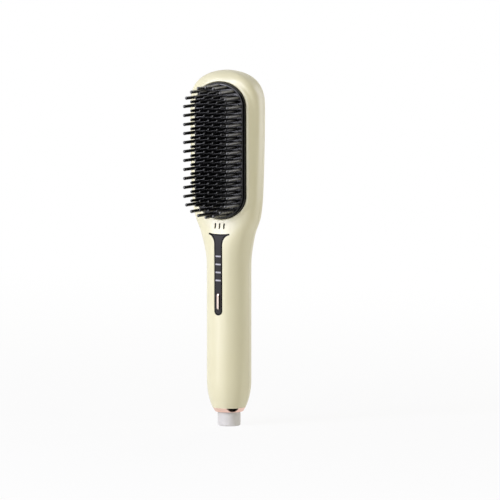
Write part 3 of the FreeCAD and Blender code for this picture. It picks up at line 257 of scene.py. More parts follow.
def oval_bar(name, half_width, half_straight, end, rear, front, x, z, sides):
    """A bar that points to the front: straight sides, and ends that are half ovals of a given height."""
    bpy.ops.object.select_all(action="DESELECT")
    bpy.ops.mesh.primitive_cylinder_add(vertices=sides, radius=1, depth=1, rotation=(math.pi / 2, 0, 0),
                                        location=(x, -(rear + front) / 2, z),
                                        scale=(half_width, end, front - rear))
    bar = bpy.context.object
    bar.name = name
    bpy.ops.object.transform_apply(location=True, rotation=True, scale=True)
    for vertex in bar.data.vertices:
        vertex.co.z += half_straight if vertex.co.z > z else -half_straight
    return bar


def comb_bar(name, half_width, end, rear, front, sides):
    """An oval as long as the comb, as a bar between two depths."""
    return oval_bar(name, half_width, COMB_STRAIGHT / 2, end, rear, front, 0, COMB_MIDDLE, sides)


def button_bar(name, gap, rear, front):
    """The button's capsule, wider by a gap all round, as a bar between two depths."""
    half = BUTTON_HALF + gap
    return oval_bar(name, half, BUTTON_STRAIGHT, half, rear, front, 0, BUTTON_MIDDLE, BUTTON_SIDES)


def slot_bar(name, x, rear, front):
    """One vent's outline, as a bar between two depths."""
    half = SLOT_WIDTH / 2
    return oval_bar(name, half, SLOT_LENGTH / 2 - half, half, rear, front, x, SLOT_MIDDLE, SLOT_SIDES)


def block(name, width, rear, front, low, high):
    """A box in the middle of the handle, between two depths and two heights."""
    bpy.ops.object.select_all(action="DESELECT")
    bpy.ops.mesh.primitive_cube_add(size=1, location=(0, -(rear + front) / 2, (low + high) / 2),
                                    scale=(width, front - rear, high - low))
    box = bpy.context.object
    box.name = name
    bpy.ops.object.transform_apply(location=True, rotation=True, scale=True)
    return box


def cut_light_bars(piece, gap, rear):
    """Open a piece for the four light bars, with a gap round each."""
    for index in range(BAR_COUNT):
        low = BAR_LOW + index * BAR_PITCH - BAR_HEIGHT / 2 - gap
        high = BAR_LOW + index * BAR_PITCH + BAR_HEIGHT / 2 + gap
        carve(piece, block("bar_hole", BAR_WIDTH + 2 * gap, rear, PAST, low, high))


def strip_bar(name, gap):
    """The control strip's outline, flared at its top and round at its foot, through the front wall."""
    half = STRIP_HALF + gap
    flare = FLARE_WIDTH + min(0.0, gap) * FLARE_SHRINK
    tip = half + flare
    lip = FLARE_LIP + gap
    fall = FLARE_HEIGHT + min(-gap, lip * FLARE_LIP_SHARE)
    foot = STRIP_LENGTH - STRIP_HALF
    quarter = [math.pi / 2 * step / ARC_STEPS for step in range(ARC_STEPS + 1)]
    outline = []
    for step in range(ARC_STEPS + 1):
        side = 1 - 2 * step / ARC_STEPS
        outline.append((side * tip, lip - FLARE_DIP * (1 - side ** 2)))
    for turn in quarter:
        outline.append((flare * math.sin(turn) - tip, fall * math.cos(turn) - FLARE_HEIGHT))
    for step in range(2 * ARC_STEPS + 1):
        turn = math.pi / 2 * step / ARC_STEPS
        outline.append((-half * math.cos(turn), -foot - half * math.sin(turn)))
    for turn in quarter:
        outline.append((tip - flare * math.cos(turn), fall * math.sin(turn) - FLARE_HEIGHT))
    bpy.ops.object.select_all(action="DESELECT")
    bpy.ops.mesh.primitive_circle_add(vertices=len(outline), radius=1, fill_type="NGON", calc_uvs=False,
                                      location=(0, 0, 0))
    bar = bpy.context.object
    bar.name = name
    for vertex, (x, z) in zip(bar.data.vertices, outline):
        vertex.co = (x, 0, STRIP_TOP + z)
    bpy.ops.object.mode_set(mode="EDIT")
    bpy.ops.mesh.select_all(action="SELECT")
    bpy.ops.mesh.extrude_region_move(TRANSFORM_OT_translate={"value": (0, -PAST, 0)})
    bpy.ops.object.mode_set(mode="OBJECT")
    face_outwards(bar)
    return bar


def skin_depth(form, x, z):
    """Depth of a form's front surface at a place."""
    return -form.ray_cast((x, -PAST, z), (0, 1, 0))[1].y


def window_edge(form):
    """The window's wall and its rounded lip, a closed ring: raised along the sides, flush at the ends."""
    rows = [(0.0, None, 0.0)]
    for step in range(LIP_STEPS + 1):
        turn = math.pi / 2 * step / LIP_STEPS
        rows.append((LIP_ROUND * (1 - math.cos(turn)), LIP_FALL * (1 - math.sin(turn)), LIP_RISE))
    for step in range(1, LIP_STEPS + 1):
        rise = LIP_RISE * (1 + math.cos(math.pi * step / LIP_STEPS)) / 2
        rows.append((LIP_ROUND + (LIP_WIDTH - LIP_ROUND) * step / LIP_STEPS, 0.0, rise))
    rows.append((LIP_WIDTH, None, 0.0))
    bpy.ops.object.select_all(action="DESELECT")
    bpy.ops.mesh.primitive_circle_add(vertices=WINDOW_SIDES, radius=1, location=(0, 0, 0))
    ring = bpy.context.object
    bpy.ops.object.mode_set(mode="EDIT")
    bpy.ops.mesh.select_all(action="SELECT")
    for number in range(1, len(rows)):
        bpy.ops.mesh.extrude_region_move(TRANSFORM_OT_translate={"value": (0, 0, -1)})
    bpy.ops.mesh.select_all(action="DESELECT")
    bpy.ops.mesh.select_non_manifold()
    bpy.ops.mesh.bridge_edge_loops()
    bpy.ops.object.mode_set(mode="OBJECT")
    for vertex in ring.data.vertices:
        out, under, rise = rows[round(-vertex.co.z)]
        rise *= vertex.co.x ** 2
        x = (WINDOW_HALF + out * LIP_STRETCH) * vertex.co.x
        z = COMB_MIDDLE + (WINDOW_END + out) * vertex.co.y + math.copysign(COMB_STRAIGHT / 2, vertex.co.y)
        vertex.co = (x, -SEAT_DEPTH if under is None else under - rise - skin_depth(form, x, z), z)
    face_outwards(ring)
    return ring


def parting_line(name):
    """Shallow band round the housing on the parting plane, for the fine groove where the shells meet."""
    band = block(name, 4 * HEAD_HALF, -GROOVE_WIDTH / 2, GROOVE_WIDTH / 2, 0, HEAD_TOP + WALL)
    carve(band, housing("groove_form", GROOVE_DEPTH))
    return band


recess_form = housing("recess_form", STRIP_THICK)
front_shell = copy_of(outer_form, "front_shell_moulding")
half_of(front_shell, keep_front=True)
front_hollow = copy_of(inner_form, "front_hollow")
carve(front_hollow, comb_bar("seat_block", WINDOW_HALF + SEAT_WIDTH, WINDOW_END + SEAT_WIDTH,
                             SEAT_DEPTH, PAST, SEAT_SIDES))
carve(front_shell, front_hollow)
carve(front_shell, comb_bar("window", WINDOW_HALF + LIP_WIDTH * LIP_STRETCH, WINDOW_END + LIP_WIDTH,
                            0, PAST, WINDOW_SIDES))
recess = strip_bar("recess", STRIP_GAP)
carve(recess, recess_form, keep=True)
carve(front_shell, recess)
carve(front_shell, button_bar("button_hole", BUTTON_GAP, BOARD_FRONT, PAST))
slot_places = [(index - (SLOT_COUNT - 1) / 2) * SLOT_PITCH for index in range(SLOT_COUNT)]
for slot_x in slot_places:
    carve(front_shell, slot_bar("vent", slot_x, BOARD_FRONT, PAST))
cut_light_bars(front_shell, BUTTON_GAP, BOARD_FRONT)
carve(front_shell, parting_line("front_groove"))
edge_ring = window_edge(outer_form)
pick(front_shell, edge_ring)
bpy.ops.object.join()


def smooth(piece, degrees=30):
    """Smooth shading that leaves edges sharper than an angle crisp."""
    pick(piece)
    bpy.ops.object.shade_smooth_by_angle(angle=math.radians(degrees))


smooth(front_shell)


def linear(hex_colour):
    """A linear colour from an sRGB hex value."""
    channels = [int(hex_colour[index:index + 2], 16) / 255 for index in (1, 3, 5)]
    return [c / 12.92 if c <= 0.04045 else ((c + 0.055) / 1.055) ** 2.4 for c in channels] + [1.0]


def add(tree, kind, links=None, **settings):
    """Add a node with its settings, and with values or other nodes' outputs on its inputs."""
    made = tree.nodes.new(kind)
    for name, setting in settings.items():
        setattr(made, name, setting)
    for name, value in (links or {}).items():
        if isinstance(value, bpy.types.NodeSocket):
            tree.links.new(value, made.inputs[name])
        else:
            made.inputs[name].default_value = value
    return made


DRIFT_LOW = 0.3
DRIFT_HIGH = 0.7
GLOSS_DRIFT = 0.15


def mottled(name, light, dark, patch, roughness, grain, relief, metallic=0.0, **sockets):
    """A material whose colour and gloss drift over patches, with a fine relief of a given grain size."""
    material = bpy.data.materials.new(name)
    material.use_nodes = True
    tree = material.node_tree
    surface = tree.nodes["Principled BSDF"]
    surface.inputs["Metallic"].default_value = metallic
    for socket, value in sockets.items():
        surface.inputs[socket.replace("_", " ")].default_value = value
    where = add(tree, "ShaderNodeTexCoord").outputs["Object"]
    drift = add(tree, "ShaderNodeTexNoise", {"Vector": where, "Scale": 1 / patch, "Detail": 3.0})
    tint = add(tree, "ShaderNodeValToRGB", {"Fac": drift.outputs["Fac"]})
    tint.color_ramp.elements[0].position = DRIFT_LOW
    tint.color_ramp.elements[0].color = linear(dark)
    tint.color_ramp.elements[1].position = DRIFT_HIGH
    tint.color_ramp.elements[1].color = linear(light)
    tree.links.new(tint.outputs["Color"], surface.inputs["Base Color"])
    gloss = add(tree, "ShaderNodeMapRange", {"Value": drift.outputs["Fac"],
                                             "To Min": roughness * (1 - GLOSS_DRIFT),
                                             "To Max": roughness * (1 + GLOSS_DRIFT)})
    tree.links.new(gloss.outputs["Result"], surface.inputs["Roughness"])
    pits = add(tree, "ShaderNodeTexNoise", {"Vector": where, "Scale": 1 / grain, "Detail": 2.0})
    bump = add(tree, "ShaderNodeBump", {"Height": pits.outputs["Fac"], "Strength": 1.0, "Distance": relief})
    tree.links.new(bump.outputs["Normal"], surface.inputs["Normal"])
    return material


# Moulded ABS gives a smooth semi-gloss skin: long soft highlights and a faint drift of colour.
# A real mould's grain is too fine to show, so here and on the other pieces it is drawn coarser.
cream = mottled("moulded_cream_abs", "#ebe7c1", "#e9e4bc", 30 * MM, 0.32, 0.9 * MM, 0.004 * MM,
                Specular_IOR_Level=1.0)


def dress(piece, material, body, slot, *nodes):
    """Give a finished piece its material and its body, and hide the CAD nodes that it stands for. The slot
    is not used.
    """
    piece.data.materials.clear()
    piece.data.materials.append(material)
    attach(piece, body)
    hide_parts(*nodes)


dress(front_shell, cream, "body", "cream_shell", "front_shell")

# Vent shade: a dark sheet just behind the three vents is painted shade, which stands in for the shade
# inside them.
# It lies just under the skin, so that the vents read as dark slots.
VENT_SHADE_DEPTH = 0.5 * MM
VENT_SHADE_THICK = 0.4 * MM
vent_shades = []
for slot_x in slot_places:
    shade_front = skin_depth(outer_form, slot_x, SLOT_MIDDLE) - VENT_SHADE_DEPTH
    vent_shades.append(slot_bar("vent_shade_bar", slot_x, shade_front - VENT_SHADE_THICK, shade_front))
pick(*vent_shades)
bpy.ops.object.join()
vent_shade = bpy.context.object
vent_shade.name = "painted_vent_shade_sheet"
# Painted shade: a dark, matt olive with a slight grain, for the shade inside the vents.
# Half-millimetre patches of lighter and darker olive drift over it.
painted_vent_shade = mottled("painted_vent_shade_olive", "#2c291c", "#1c1a12", 0.5 * MM, 0.9, 0.12 * MM, 0.05 * MM)
dress(vent_shade, painted_vent_shade, "body", "cream_shell", "front_shell")

# Rear shell: the plain back half, moulded in the same cream ABS and screwed to the front shell's bosses.
# Three counterbores take the screws, and plugs close them.
PLUG_RADIUS = 2.6 * MM
PLUG_GAP = 0.1 * MM
PLUG_SIDES = 50
PLUG_PLACES = ((0.0, 51.9 * MM), (11.5 * MM, 122.9 * MM), (-11.5 * MM, 122.9 * MM))
rear_shell = copy_of(outer_form, "rear_shell_moulding")
half_of(rear_shell, keep_front=False)
carve(rear_shell, copy_of(inner_form, "rear_hollow"))
for plug_x, plug_z in PLUG_PLACES:
    carve(rear_shell, oval_bar("plug_bore", PLUG_RADIUS + PLUG_GAP, 0.0, PLUG_RADIUS + PLUG_GAP, -PAST, 0.0,
                               plug_x, plug_z, PLUG_SIDES))
carve(rear_shell, parting_line("rear_groove"))
smooth(rear_shell)
dress(rear_shell, cream, "body", "cream_shell", "rear_shell")

# Control strip: a charcoal acrylic inlay, moulded to the handle's curve, with a black band of painted shade
# round its edge.
# It is printed from behind, pressed into its recess and held by adhesive film.
# The light bars and the button pass through it.
EDGE_SHADE_WIDTH = 0.8 * MM
strip = strip_bar("control_strip_inlay", 0.0)
carve(strip, outer_form, "INTERSECT", keep=True)
carve(strip, recess_form)
carve(strip, button_bar("strip_button_hole", BUTTON_GAP, 0, PAST))
cut_light_bars(strip, BUTTON_GAP / 2, 0)
# A copy of the strip becomes the black band of painted shade round its edge.
strip_edge_shade = copy_of(strip, "control_strip_edge_shade")
carve(strip, strip_bar("strip_field", -EDGE_SHADE_WIDTH), "INTERSECT")
carve(strip_edge_shade, strip_bar("edge_shade_hole", -EDGE_SHADE_WIDTH))
smooth(strip)
smooth(strip_edge_shade)
# Acrylic over print looks even and satin: a charcoal that lifts a little where light grazes it.
charcoal = mottled("satin_charcoal_acrylic", "#2e2c2d", "#292728", 12 * MM, 0.5, 0.6 * MM, 0.002 * MM,
                   IOR=1.3)
dress(strip, charcoal, "body", "strip_charcoal", "control_strip")
# Painted shade along the strip's edge: a black band with hardly any sheen, for the dark seam line.
painted_edge_shade = mottled("painted_strip_edge_shade_black", "#070606", "#050404", 12 * MM, 0.3, 0.6 * MM, 0.001 * MM,
                       Specular_IOR_Level=0.1)
dress(strip_edge_shade, painted_edge_shade, "body", "strip_charcoal", "control_strip")
bpy.data.objects.remove(outer_form)
bpy.data.objects.remove(inner_form)

# Comb frame: a moulded ring of gloss black nylon with a rounded rim, which fills the head's window.
# Its flange lies behind the window's seat, and four screws from behind hold it there.
FRAME_HALF = 18.0 * MM
FRAME_END = 14.75 * MM
FRAME_RIM = 3.8 * MM
FRAME_ROUND = 1.7 * MM
OPENING_SIDES = 130
COMB_FACE = 13.0 * MM
FACE_SLACK = 0.01 * MM
ROUNDING_STEPS = 8


def round_front(piece, front, radius):
    """Round the edge of a bar's front face."""
    pick(piece)
    bpy.ops.object.mode_set(mode="EDIT")
    bpy.ops.mesh.select_all(action="DESELECT")
    bpy.ops.object.mode_set(mode="OBJECT")
    for edge in piece.data.edges:
        ends = [piece.data.vertices[index].co for index in edge.vertices]
        edge.select = all(end.y < FACE_SLACK - front for end in ends)
    bpy.ops.object.mode_set(mode="EDIT")
    bpy.ops.mesh.bevel(offset=radius, segments=ROUNDING_STEPS, affect="EDGES")
    bpy.ops.object.mode_set(mode="OBJECT")


comb_frame = comb_bar("comb_frame_moulding", FRAME_HALF, FRAME_END, SEAT_DEPTH, COMB_FACE, WINDOW_SIDES)
round_front(comb_frame, COMB_FACE, FRAME_ROUND)
carve(comb_frame, comb_bar("frame_opening", FRAME_HALF - FRAME_RIM, FRAME_END - FRAME_RIM, 0, PAST,
                           OPENING_SIDES))
smooth(comb_frame)
# Nylon from a polished mould gives a deep black with narrow, sharp highlights along the rim.
black_nylon = mottled("gloss_black_nylon", "#0d0d0e", "#090909", 6 * MM, 0.17, 0.5 * MM, 0.002 * MM,
                      IOR=1.45)
dress(comb_frame, black_nylon, "body", "comb_black", "comb_frame")

# Outer pins: ball-tipped pins of moulded black nylon, pressed into the frame by their spigots.
# They stand in two straight rows that half ovals join, so that their cool balls meet the skin first.
PIN_LENGTH = 17.0 * MM
PIN_ROOT = 1.1 * MM
PIN_NECK = 0.975 * MM
PIN_BALL = 1.075 * MM
PIN_SIDE = 15.4 * MM
PIN_CREST = 12.4 * MM
PIN_ROWS = 11
PIN_PITCH = COMB_STRAIGHT / (PIN_ROWS - 1)
PIN_SIDES = 12
BALL_STEPS = 5
SPIGOT = 0.6 * MM
SPIGOT_LENGTH = 1.6 * MM
OVAL_STEPS = 200


def turned(name, outline, sides, forward=False):
    """A body turned about the handle's axis, or about the depth, from its outline's radii and distances."""
    bpy.ops.object.select_all(action="DESELECT")
    bpy.ops.mesh.primitive_circle_add(vertices=len(outline), radius=1, calc_uvs=False, location=(0, 0, 0))
    piece = bpy.context.object
    piece.name = name
    for vertex, (radius, along) in zip(piece.data.vertices, outline):
        vertex.co = (radius, -along, 0) if forward else (radius, 0, along)
    axis = (0, 1, 0) if forward else (0, 0, 1)
    bpy.ops.object.mode_set(mode="EDIT")
    bpy.ops.mesh.select_all(action="SELECT")
    bpy.ops.mesh.spin(steps=sides, angle=math.tau, center=(0, 0, 0), axis=axis)
    bpy.ops.mesh.select_all(action="SELECT")
    bpy.ops.mesh.remove_doubles(threshold=MERGE)
    bpy.ops.mesh.delete_loose()
    bpy.ops.object.mode_set(mode="OBJECT")
    face_outwards(piece)
    return piece


def spread(master, places, name):
    """Copies of one piece over the comb's face, joined into one object."""
    copies = []
    for across, along in places:
        copy = copy_of(master, name)
        copy.data.transform(Matrix.Translation((across, -COMB_FACE, COMB_MIDDLE + along)))
        copies.append(copy)
    bpy.data.objects.remove(master)
    pick(*copies)
    bpy.ops.object.join()
    bpy.context.object.name = name
    return bpy.context.object


pin_places = []
for row in range(PIN_ROWS):
    height = COMB_STRAIGHT / 2 - row * PIN_PITCH
    pin_places += [(-PIN_SIDE, height), (PIN_SIDE, height)]
turns = [math.pi * step / OVAL_STEPS for step in range(OVAL_STEPS + 1)]
oval = [(PIN_SIDE * math.cos(turn), PIN_CREST * math.sin(turn)) for turn in turns]
runs = [0.0]
for first, last in zip(oval, oval[1:]):
    runs.append(runs[-1] + math.dist(first, last))
gaps = round(runs[-1] / PIN_PITCH)
for number in range(1, gaps):
    nearest = min(range(OVAL_STEPS + 1), key=lambda step: abs(runs[step] - runs[-1] * number / gaps))
    across, along = oval[nearest]
    pin_places += [(across, COMB_STRAIGHT / 2 + along), (across, -COMB_STRAIGHT / 2 - along)]
ball_middle = PIN_LENGTH - PIN_BALL
lean = math.asin(PIN_NECK / PIN_BALL)
spigot_outline = [(0, -SPIGOT_LENGTH), (SPIGOT, -SPIGOT_LENGTH), (SPIGOT, 0)]
pin_outline = spigot_outline + [(PIN_ROOT, 0)]
for step in range(BALL_STEPS + 1):
    turn = math.pi - lean - (math.pi - lean) * step / BALL_STEPS
    pin_outline.append((PIN_BALL * math.sin(turn), ball_middle + PIN_BALL * math.cos(turn)))
outer_pins = spread(turned("pin", pin_outline, PIN_SIDES, forward=True), pin_places, "outer_pins_set")
smooth(outer_pins, degrees=40)
# Moulded nylon gives black shafts with a grey streak down the lit side and a small bright dot on each ball.
pin_nylon = mottled("black_nylon_pins", "#0b0b0c", "#070707", 4 * MM, 0.38, 0.3 * MM, 0.002 * MM,
                    IOR=1.7, Specular_IOR_Level=1.0)
dress(outer_pins, pin_nylon, "body", "pin_black", "outer_pins")

# Heated teeth: tapered metal teeth with round tips, pressed by their spigots into a cast heating plate.
# They stand in nine columns, each half a pitch out of step with the next, between the pins.
# Teeth and plate share one black coating, and the plate keeps its CAD mesh.
TOOTH_LENGTH = 13.5 * MM
TOOTH_ROOT = 1.15 * MM
TOOTH_TIP = 0.9 * MM
TOOTH_COLUMN = 3.08 * MM
TOOTH_COLUMNS = 4
TOOTH_WIDE = 12.9 * MM
TOOTH_TALL = 9.65 * MM
TOOTH_SIDES = 10
TIP_STEPS = 4
tooth_places = []
for column in range(-TOOTH_COLUMNS, TOOTH_COLUMNS + 1):
    across = column * TOOTH_COLUMN
    stagger = 0.0 if (TOOTH_COLUMNS - column) % 2 else 0.5
    for row in range(-PIN_ROWS, 2 * PIN_ROWS):
        along = COMB_STRAIGHT / 2 - (row + stagger) * PIN_PITCH
        past = max(0.0, abs(along) - COMB_STRAIGHT / 2)
        if (across / TOOTH_WIDE) ** 2 + (past / TOOTH_TALL) ** 2 <= 1:
            tooth_places.append((across, along))
tooth_outline = spigot_outline + [(TOOTH_ROOT, 0)]
tip_middle = TOOTH_LENGTH - TOOTH_TIP
for step in range(TIP_STEPS + 1):
    turn = math.pi / 2 * step / TIP_STEPS
    tooth_outline.append((TOOTH_TIP * math.cos(turn), tip_middle + TOOTH_TIP * math.sin(turn)))
tooth = turned("tooth", tooth_outline, TOOTH_SIDES, forward=True)
heated_teeth = spread(tooth, tooth_places, "heated_teeth_set")
smooth(heated_teeth, degrees=40)


def coat(material, *nodes):
    """Give CAD nodes whose shape is right a better material."""
    for name in nodes:
        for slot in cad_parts[name].material_slots:
            slot.material = material


# A fired ceramic coat looks satin black, with soft highlights at the teeth's tips.
coated = mottled("black_ceramic_coating", "#0c0b0d", "#060606", 3 * MM, 0.3, 0.25 * MM, 0.004 * MM,
                 Specular_IOR_Level=0.75)
dress(heated_teeth, coated, "body", "coated_metal", "heated_teeth")
coat(coated, "heating_plate")

# Power button: a moulded capsule with a crowned face, plated in pale rose gold.
# The strip guides it, and a flange behind the wall keeps it in.
BUTTON_BACK = 10.6 * MM
BUTTON_FRONT = 14.45 * MM
BUTTON_CROWN = 1.43 * MM
BUTTON_FLANGE = 0.9 * MM
BUTTON_FLANGE_THICK = 1.0 * MM
button = button_bar("power_button_cap", 0.0, BUTTON_BACK, BUTTON_FRONT)
round_front(button, BUTTON_FRONT, BUTTON_CROWN)
carve(button, button_bar("button_flange", BUTTON_FLANGE, BUTTON_BACK, BUTTON_BACK + BUTTON_FLANGE_THICK),
      "UNION")
smooth(button, degrees=40)
# Bright plate over a polished moulding gives pale rose mirror highlights, nearly white towards a lamp.
champagne = mottled("pale_rose_plate", "#f7e6dd", "#f2ddd3", 8 * MM, 0.14, 0.4 * MM, 0.0005 * MM,
                    metallic=1.0)
dress(button, champagne, "button", "rose_plate", "power_button")

# End ring: turned trim, plated in rose gold, that caps the shells' foot.
# It goes on with the handle's curve, and its spigot fits between the shells and the gland.
RING_FOOT = 8.9 * MM
RING_TOP_RADIUS = 10.45 * MM
RING_FOOT_RADIUS = 8.94 * MM
RING_BORE = 7.45 * MM
RING_EDGE = 0.8 * MM
RING_EDGE_STEPS = 8
RING_SPIGOT_RADIUS = 8.95 * MM
RING_SPIGOT = 1.5 * MM
RING_SIDES = 96
ring_outline = [(RING_BORE, TAIL_FOOT + RING_SPIGOT), (RING_SPIGOT_RADIUS, TAIL_FOOT + RING_SPIGOT),
                (RING_SPIGOT_RADIUS, TAIL_FOOT), (RING_TOP_RADIUS, TAIL_FOOT)]
lean = math.atan2(RING_TOP_RADIUS - RING_FOOT_RADIUS, TAIL_FOOT - RING_FOOT)
edge_middle = RING_FOOT_RADIUS - RING_EDGE * math.tan((math.pi / 2 - lean) / 2)
for step in range(RING_EDGE_STEPS + 1):
    turn = lean + (math.pi / 2 - lean) * step / RING_EDGE_STEPS
    edge_height = RING_FOOT + RING_EDGE * (1 - math.sin(turn))
    ring_outline.append((edge_middle + RING_EDGE * math.cos(turn), edge_height))
ring_outline.append((RING_BORE, RING_FOOT))
end_ring = turned("end_ring_trim", ring_outline, RING_SIDES)
smooth(end_ring, degrees=35)
# Bright plate mirrors the studio: white on the lit side, pink at its edges and dark where the cloth shows.
rose = mottled("rose_gold_plate", "#ecc9bb", "#e6c0b1", 8 * MM, 0.12, 0.4 * MM, 0.0005 * MM, metallic=1.0)
dress(end_ring, rose, "body", "rose_plate", "end_ring")

# Cord gland: a moulded collar of off-white nylon, with the cord's inlet in its lower face.
# A flange above its neck turns between the shells' floor and web, and a slim core carries the slip rings.
GLAND_RADIUS = 7.2 * MM
GLAND_BORE = 3.2 * MM
GLAND_BORE_DEPTH = 14.0 * MM
GLAND_CHAMFER = 0.4 * MM
GLAND_EDGE = 0.9 * MM
GLAND_EDGE_STEPS = 6
GLAND_COLLAR_TOP = 12.95 * MM
GLAND_NECK = 6.0 * MM
GLAND_FLANGE = 8.5 * MM
GLAND_FLANGE_FOOT = 14.75 * MM
GLAND_FLANGE_TOP = 16.75 * MM
GLAND_CORE = 3.5 * MM
GLAND_CORE_BORE = 2.0 * MM
GLAND_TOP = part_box("cord_gland")[1][2]
GLAND_SIDES = 80
gland_outline = [(GLAND_BORE, GLAND_BORE_DEPTH), (GLAND_BORE, GLAND_CHAMFER),
                 (GLAND_BORE + GLAND_CHAMFER, 0)]
for step in range(GLAND_EDGE_STEPS + 1):
    turn = math.pi / 2 * step / GLAND_EDGE_STEPS
    edge_radius = GLAND_RADIUS - GLAND_EDGE * (1 - math.sin(turn))
    gland_outline.append((edge_radius, GLAND_EDGE * (1 - math.cos(turn))))
gland_outline += [(GLAND_RADIUS, GLAND_COLLAR_TOP), (GLAND_NECK, GLAND_COLLAR_TOP),
                  (GLAND_NECK, GLAND_FLANGE_FOOT), (GLAND_FLANGE, GLAND_FLANGE_FOOT),
                  (GLAND_FLANGE, GLAND_FLANGE_TOP), (GLAND_CORE, GLAND_FLANGE_TOP),
                  (GLAND_CORE, GLAND_TOP), (GLAND_CORE_BORE, GLAND_TOP),
                  (GLAND_CORE_BORE, GLAND_BORE_DEPTH)]
gland = turned("cord_gland_collar", gland_outline, GLAND_SIDES)
smooth(gland, degrees=35)
# Nylon with a satin skin gives broad, dull highlights on a neutral off-white.
off_white = mottled("satin_off_white_nylon", "#dddcd6", "#d8d7d1", 10 * MM, 0.42, 0.5 * MM, 0.006 * MM)
dress(gland, off_white, "gland", "gland_grey", "cord_gland")

# Light guide: one moulding of milky polycarbonate that lies behind the front shell's wall.
# Its four bars pass through the wall and the strip and end flush with the strip's face.
# Milky plastic scatters light within, so unlit bars look pale grey with soft, cloudy patches.
milky = mottled("milky_polycarbonate", "#cac9cc", "#adacb1", 4 * MM, 0.3, 0.5 * MM, 0.002 * MM, IOR=1.58)
coat(milky, "light_guide")

# Screw plugs: moulded cream ABS buttons, pushed into the counterbores over the shell screws.
# Their outer ends are cut to the back's curve.
# Their skin is a little duller than the shells', so that they show as quiet discs.
plug_cream = mottled("cream_abs_plugs", "#ebe7c1", "#e8e3bb", 4 * MM, 0.38, 0.6 * MM, 0.004 * MM)
coat(plug_cream, "screw_plugs")

# Screws: pan-headed zinc-plated steel, driven from behind.
# They draw the shells together and hold the comb's lugs, the heater's clamp and the board.
# Zinc plate gives a cool grey metal with small lighter and darker crystals.
zinc = mottled("zinc_plated_steel", "#b9bbbd", "#9fa2a5", 2 * MM, 0.32, 0.3 * MM, 0.004 * MM, metallic=1.0)
coat(zinc, "shell_screws", "comb_screws", "clamp_screws", "board_screws")

# Heater stack: a pressed ceramic heater, an amber polyimide sheet and a spring-steel clamp.
# They lie in that order behind the heating plate, and the clamp is screwed to the plate's bosses.
# Pressed ceramic looks pale, chalky and matt, with a fine grit.
heater = mottled("pressed_heater_ceramic", "#d0cbbf", "#bcb6a8", 2.5 * MM, 0.7, 0.3 * MM, 0.02 * MM)
coat(heater, "ptc_heater")
# Polyimide film gives an amber gloss with slow ripples.
amber = mottled("amber_polyimide_film", "#b4742a", "#9c5f1c", 8 * MM, 0.3, 1.2 * MM, 0.004 * MM)
coat(amber, "heater_insulator")
# Rolled steel gives a soft grey sheen with faint darker patches.
spring_steel = mottled("rolled_spring_steel", "#a9a9a8", "#8f9090", 3 * MM, 0.36, 0.3 * MM, 0.004 * MM,
                       metallic=1.0)
coat(spring_steel, "heater_clamp")

# Sensors: a thermistor bead dipped in epoxy, and a thermal fuse in a drawn aluminium case.
# Both lie against the back of the heating plate.
# Dipped epoxy looks like a glossy black drop with an uneven skin.
epoxy = mottled("black_epoxy_dip", "#2b2b2b", "#1e1e1e", 2 * MM, 0.25, 0.6 * MM, 0.02 * MM)
coat(epoxy, "thermistor")
# Drawn aluminium gives a bright, pale metal with a soft sheen.
drawn = mottled("drawn_aluminium", "#cfd0d2", "#bcbec1", 2 * MM, 0.3, 0.3 * MM, 0.003 * MM, metallic=1.0)
coat(drawn, "thermal_fuse")

# Heat shield: aluminium sheet cut flat, between the heater and the back, on the rear shell's posts.
# Rolled sheet looks pale and softly mirrored, with broad faint clouds.
rolled = mottled("rolled_aluminium_sheet", "#d2d3d5", "#c2c4c7", 6 * MM, 0.34, 0.4 * MM, 0.004 * MM,
                 metallic=1.0)
coat(rolled, "heat_shield")

# Control board: glass-epoxy with a green solder mask, screwed to the front shell's posts.
# Its lamps and switch face the strip, and the power parts are soldered to its back.
# Solder mask gives a half-gloss green that the copper below makes patchy.
mask = mottled("green_solder_mask", "#2d7a43", "#1f6234", 3 * MM, 0.35, 0.5 * MM, 0.01 * MM)
coat(mask, "control_board")
# Cast clear epoxy looks pale, glassy and slightly yellow.
lens = mottled("clear_epoxy_lamp", "#f4efd8", "#e6dfbf", 1 * MM, 0.15, 0.3 * MM, 0.002 * MM)
coat(lens, "indicator_lamps")
# Moulded phenolic is black and dull with a fine gritty skin.
phenolic = mottled("black_moulded_phenolic", "#2a2a2b", "#212122", 2 * MM, 0.5, 0.25 * MM, 0.01 * MM)
coat(phenolic, "tactile_switch", "triac")
# Moulded acetal is a plain satin grey with soft highlights.
acetal = mottled("grey_acetal", "#bdbdbc", "#b2b2b1", 3 * MM, 0.4, 0.4 * MM, 0.004 * MM)
coat(acetal, "switch_plunger", "ion_emitter", "contact_holder")
# A moulded capacitor case is a warm yellow with an even half gloss.
film_box = mottled("yellow_capacitor_case", "#d9b13c", "#cda32f", 4 * MM, 0.35, 0.4 * MM, 0.005 * MM)
coat(film_box, "film_capacitor")
# Potting resin in a moulded case gives a dull blue with faint clouds.
potting = mottled("blue_potted_case", "#38448c", "#2c377a", 3 * MM, 0.4, 0.5 * MM, 0.01 * MM)
coat(potting, "ion_generator")

# Contacts and leads: brass slip rings on the gland's core, and sprung brass leaves that feed them.
# Leads in silicone sleeves run from the leaves' holder to the board, and from the board to the head.
# Plain brass gives a warm yellow metal with slightly tarnished patches.
brass = mottled("plain_brass", "#d8bb6f", "#c9a95a", 2 * MM, 0.28, 0.3 * MM, 0.003 * MM, metallic=1.0)
coat(brass, "slip_rings", "contact_leaves")
# Extruded silicone looks soft and matt, here white with a trace of grey.
white_sleeve = mottled("white_silicone_sleeve", "#e2e1df", "#d5d4d1", 3 * MM, 0.55, 0.4 * MM, 0.01 * MM)
coat(white_sleeve, "mains_leads", "sensor_lead")
# The same silicone in brick red, as dull as the white.
red_sleeve = mottled("red_silicone_sleeve", "#b0362c", "#9b2a22", 3 * MM, 0.55, 0.4 * MM, 0.01 * MM)
coat(red_sleeve, "heater_leads")

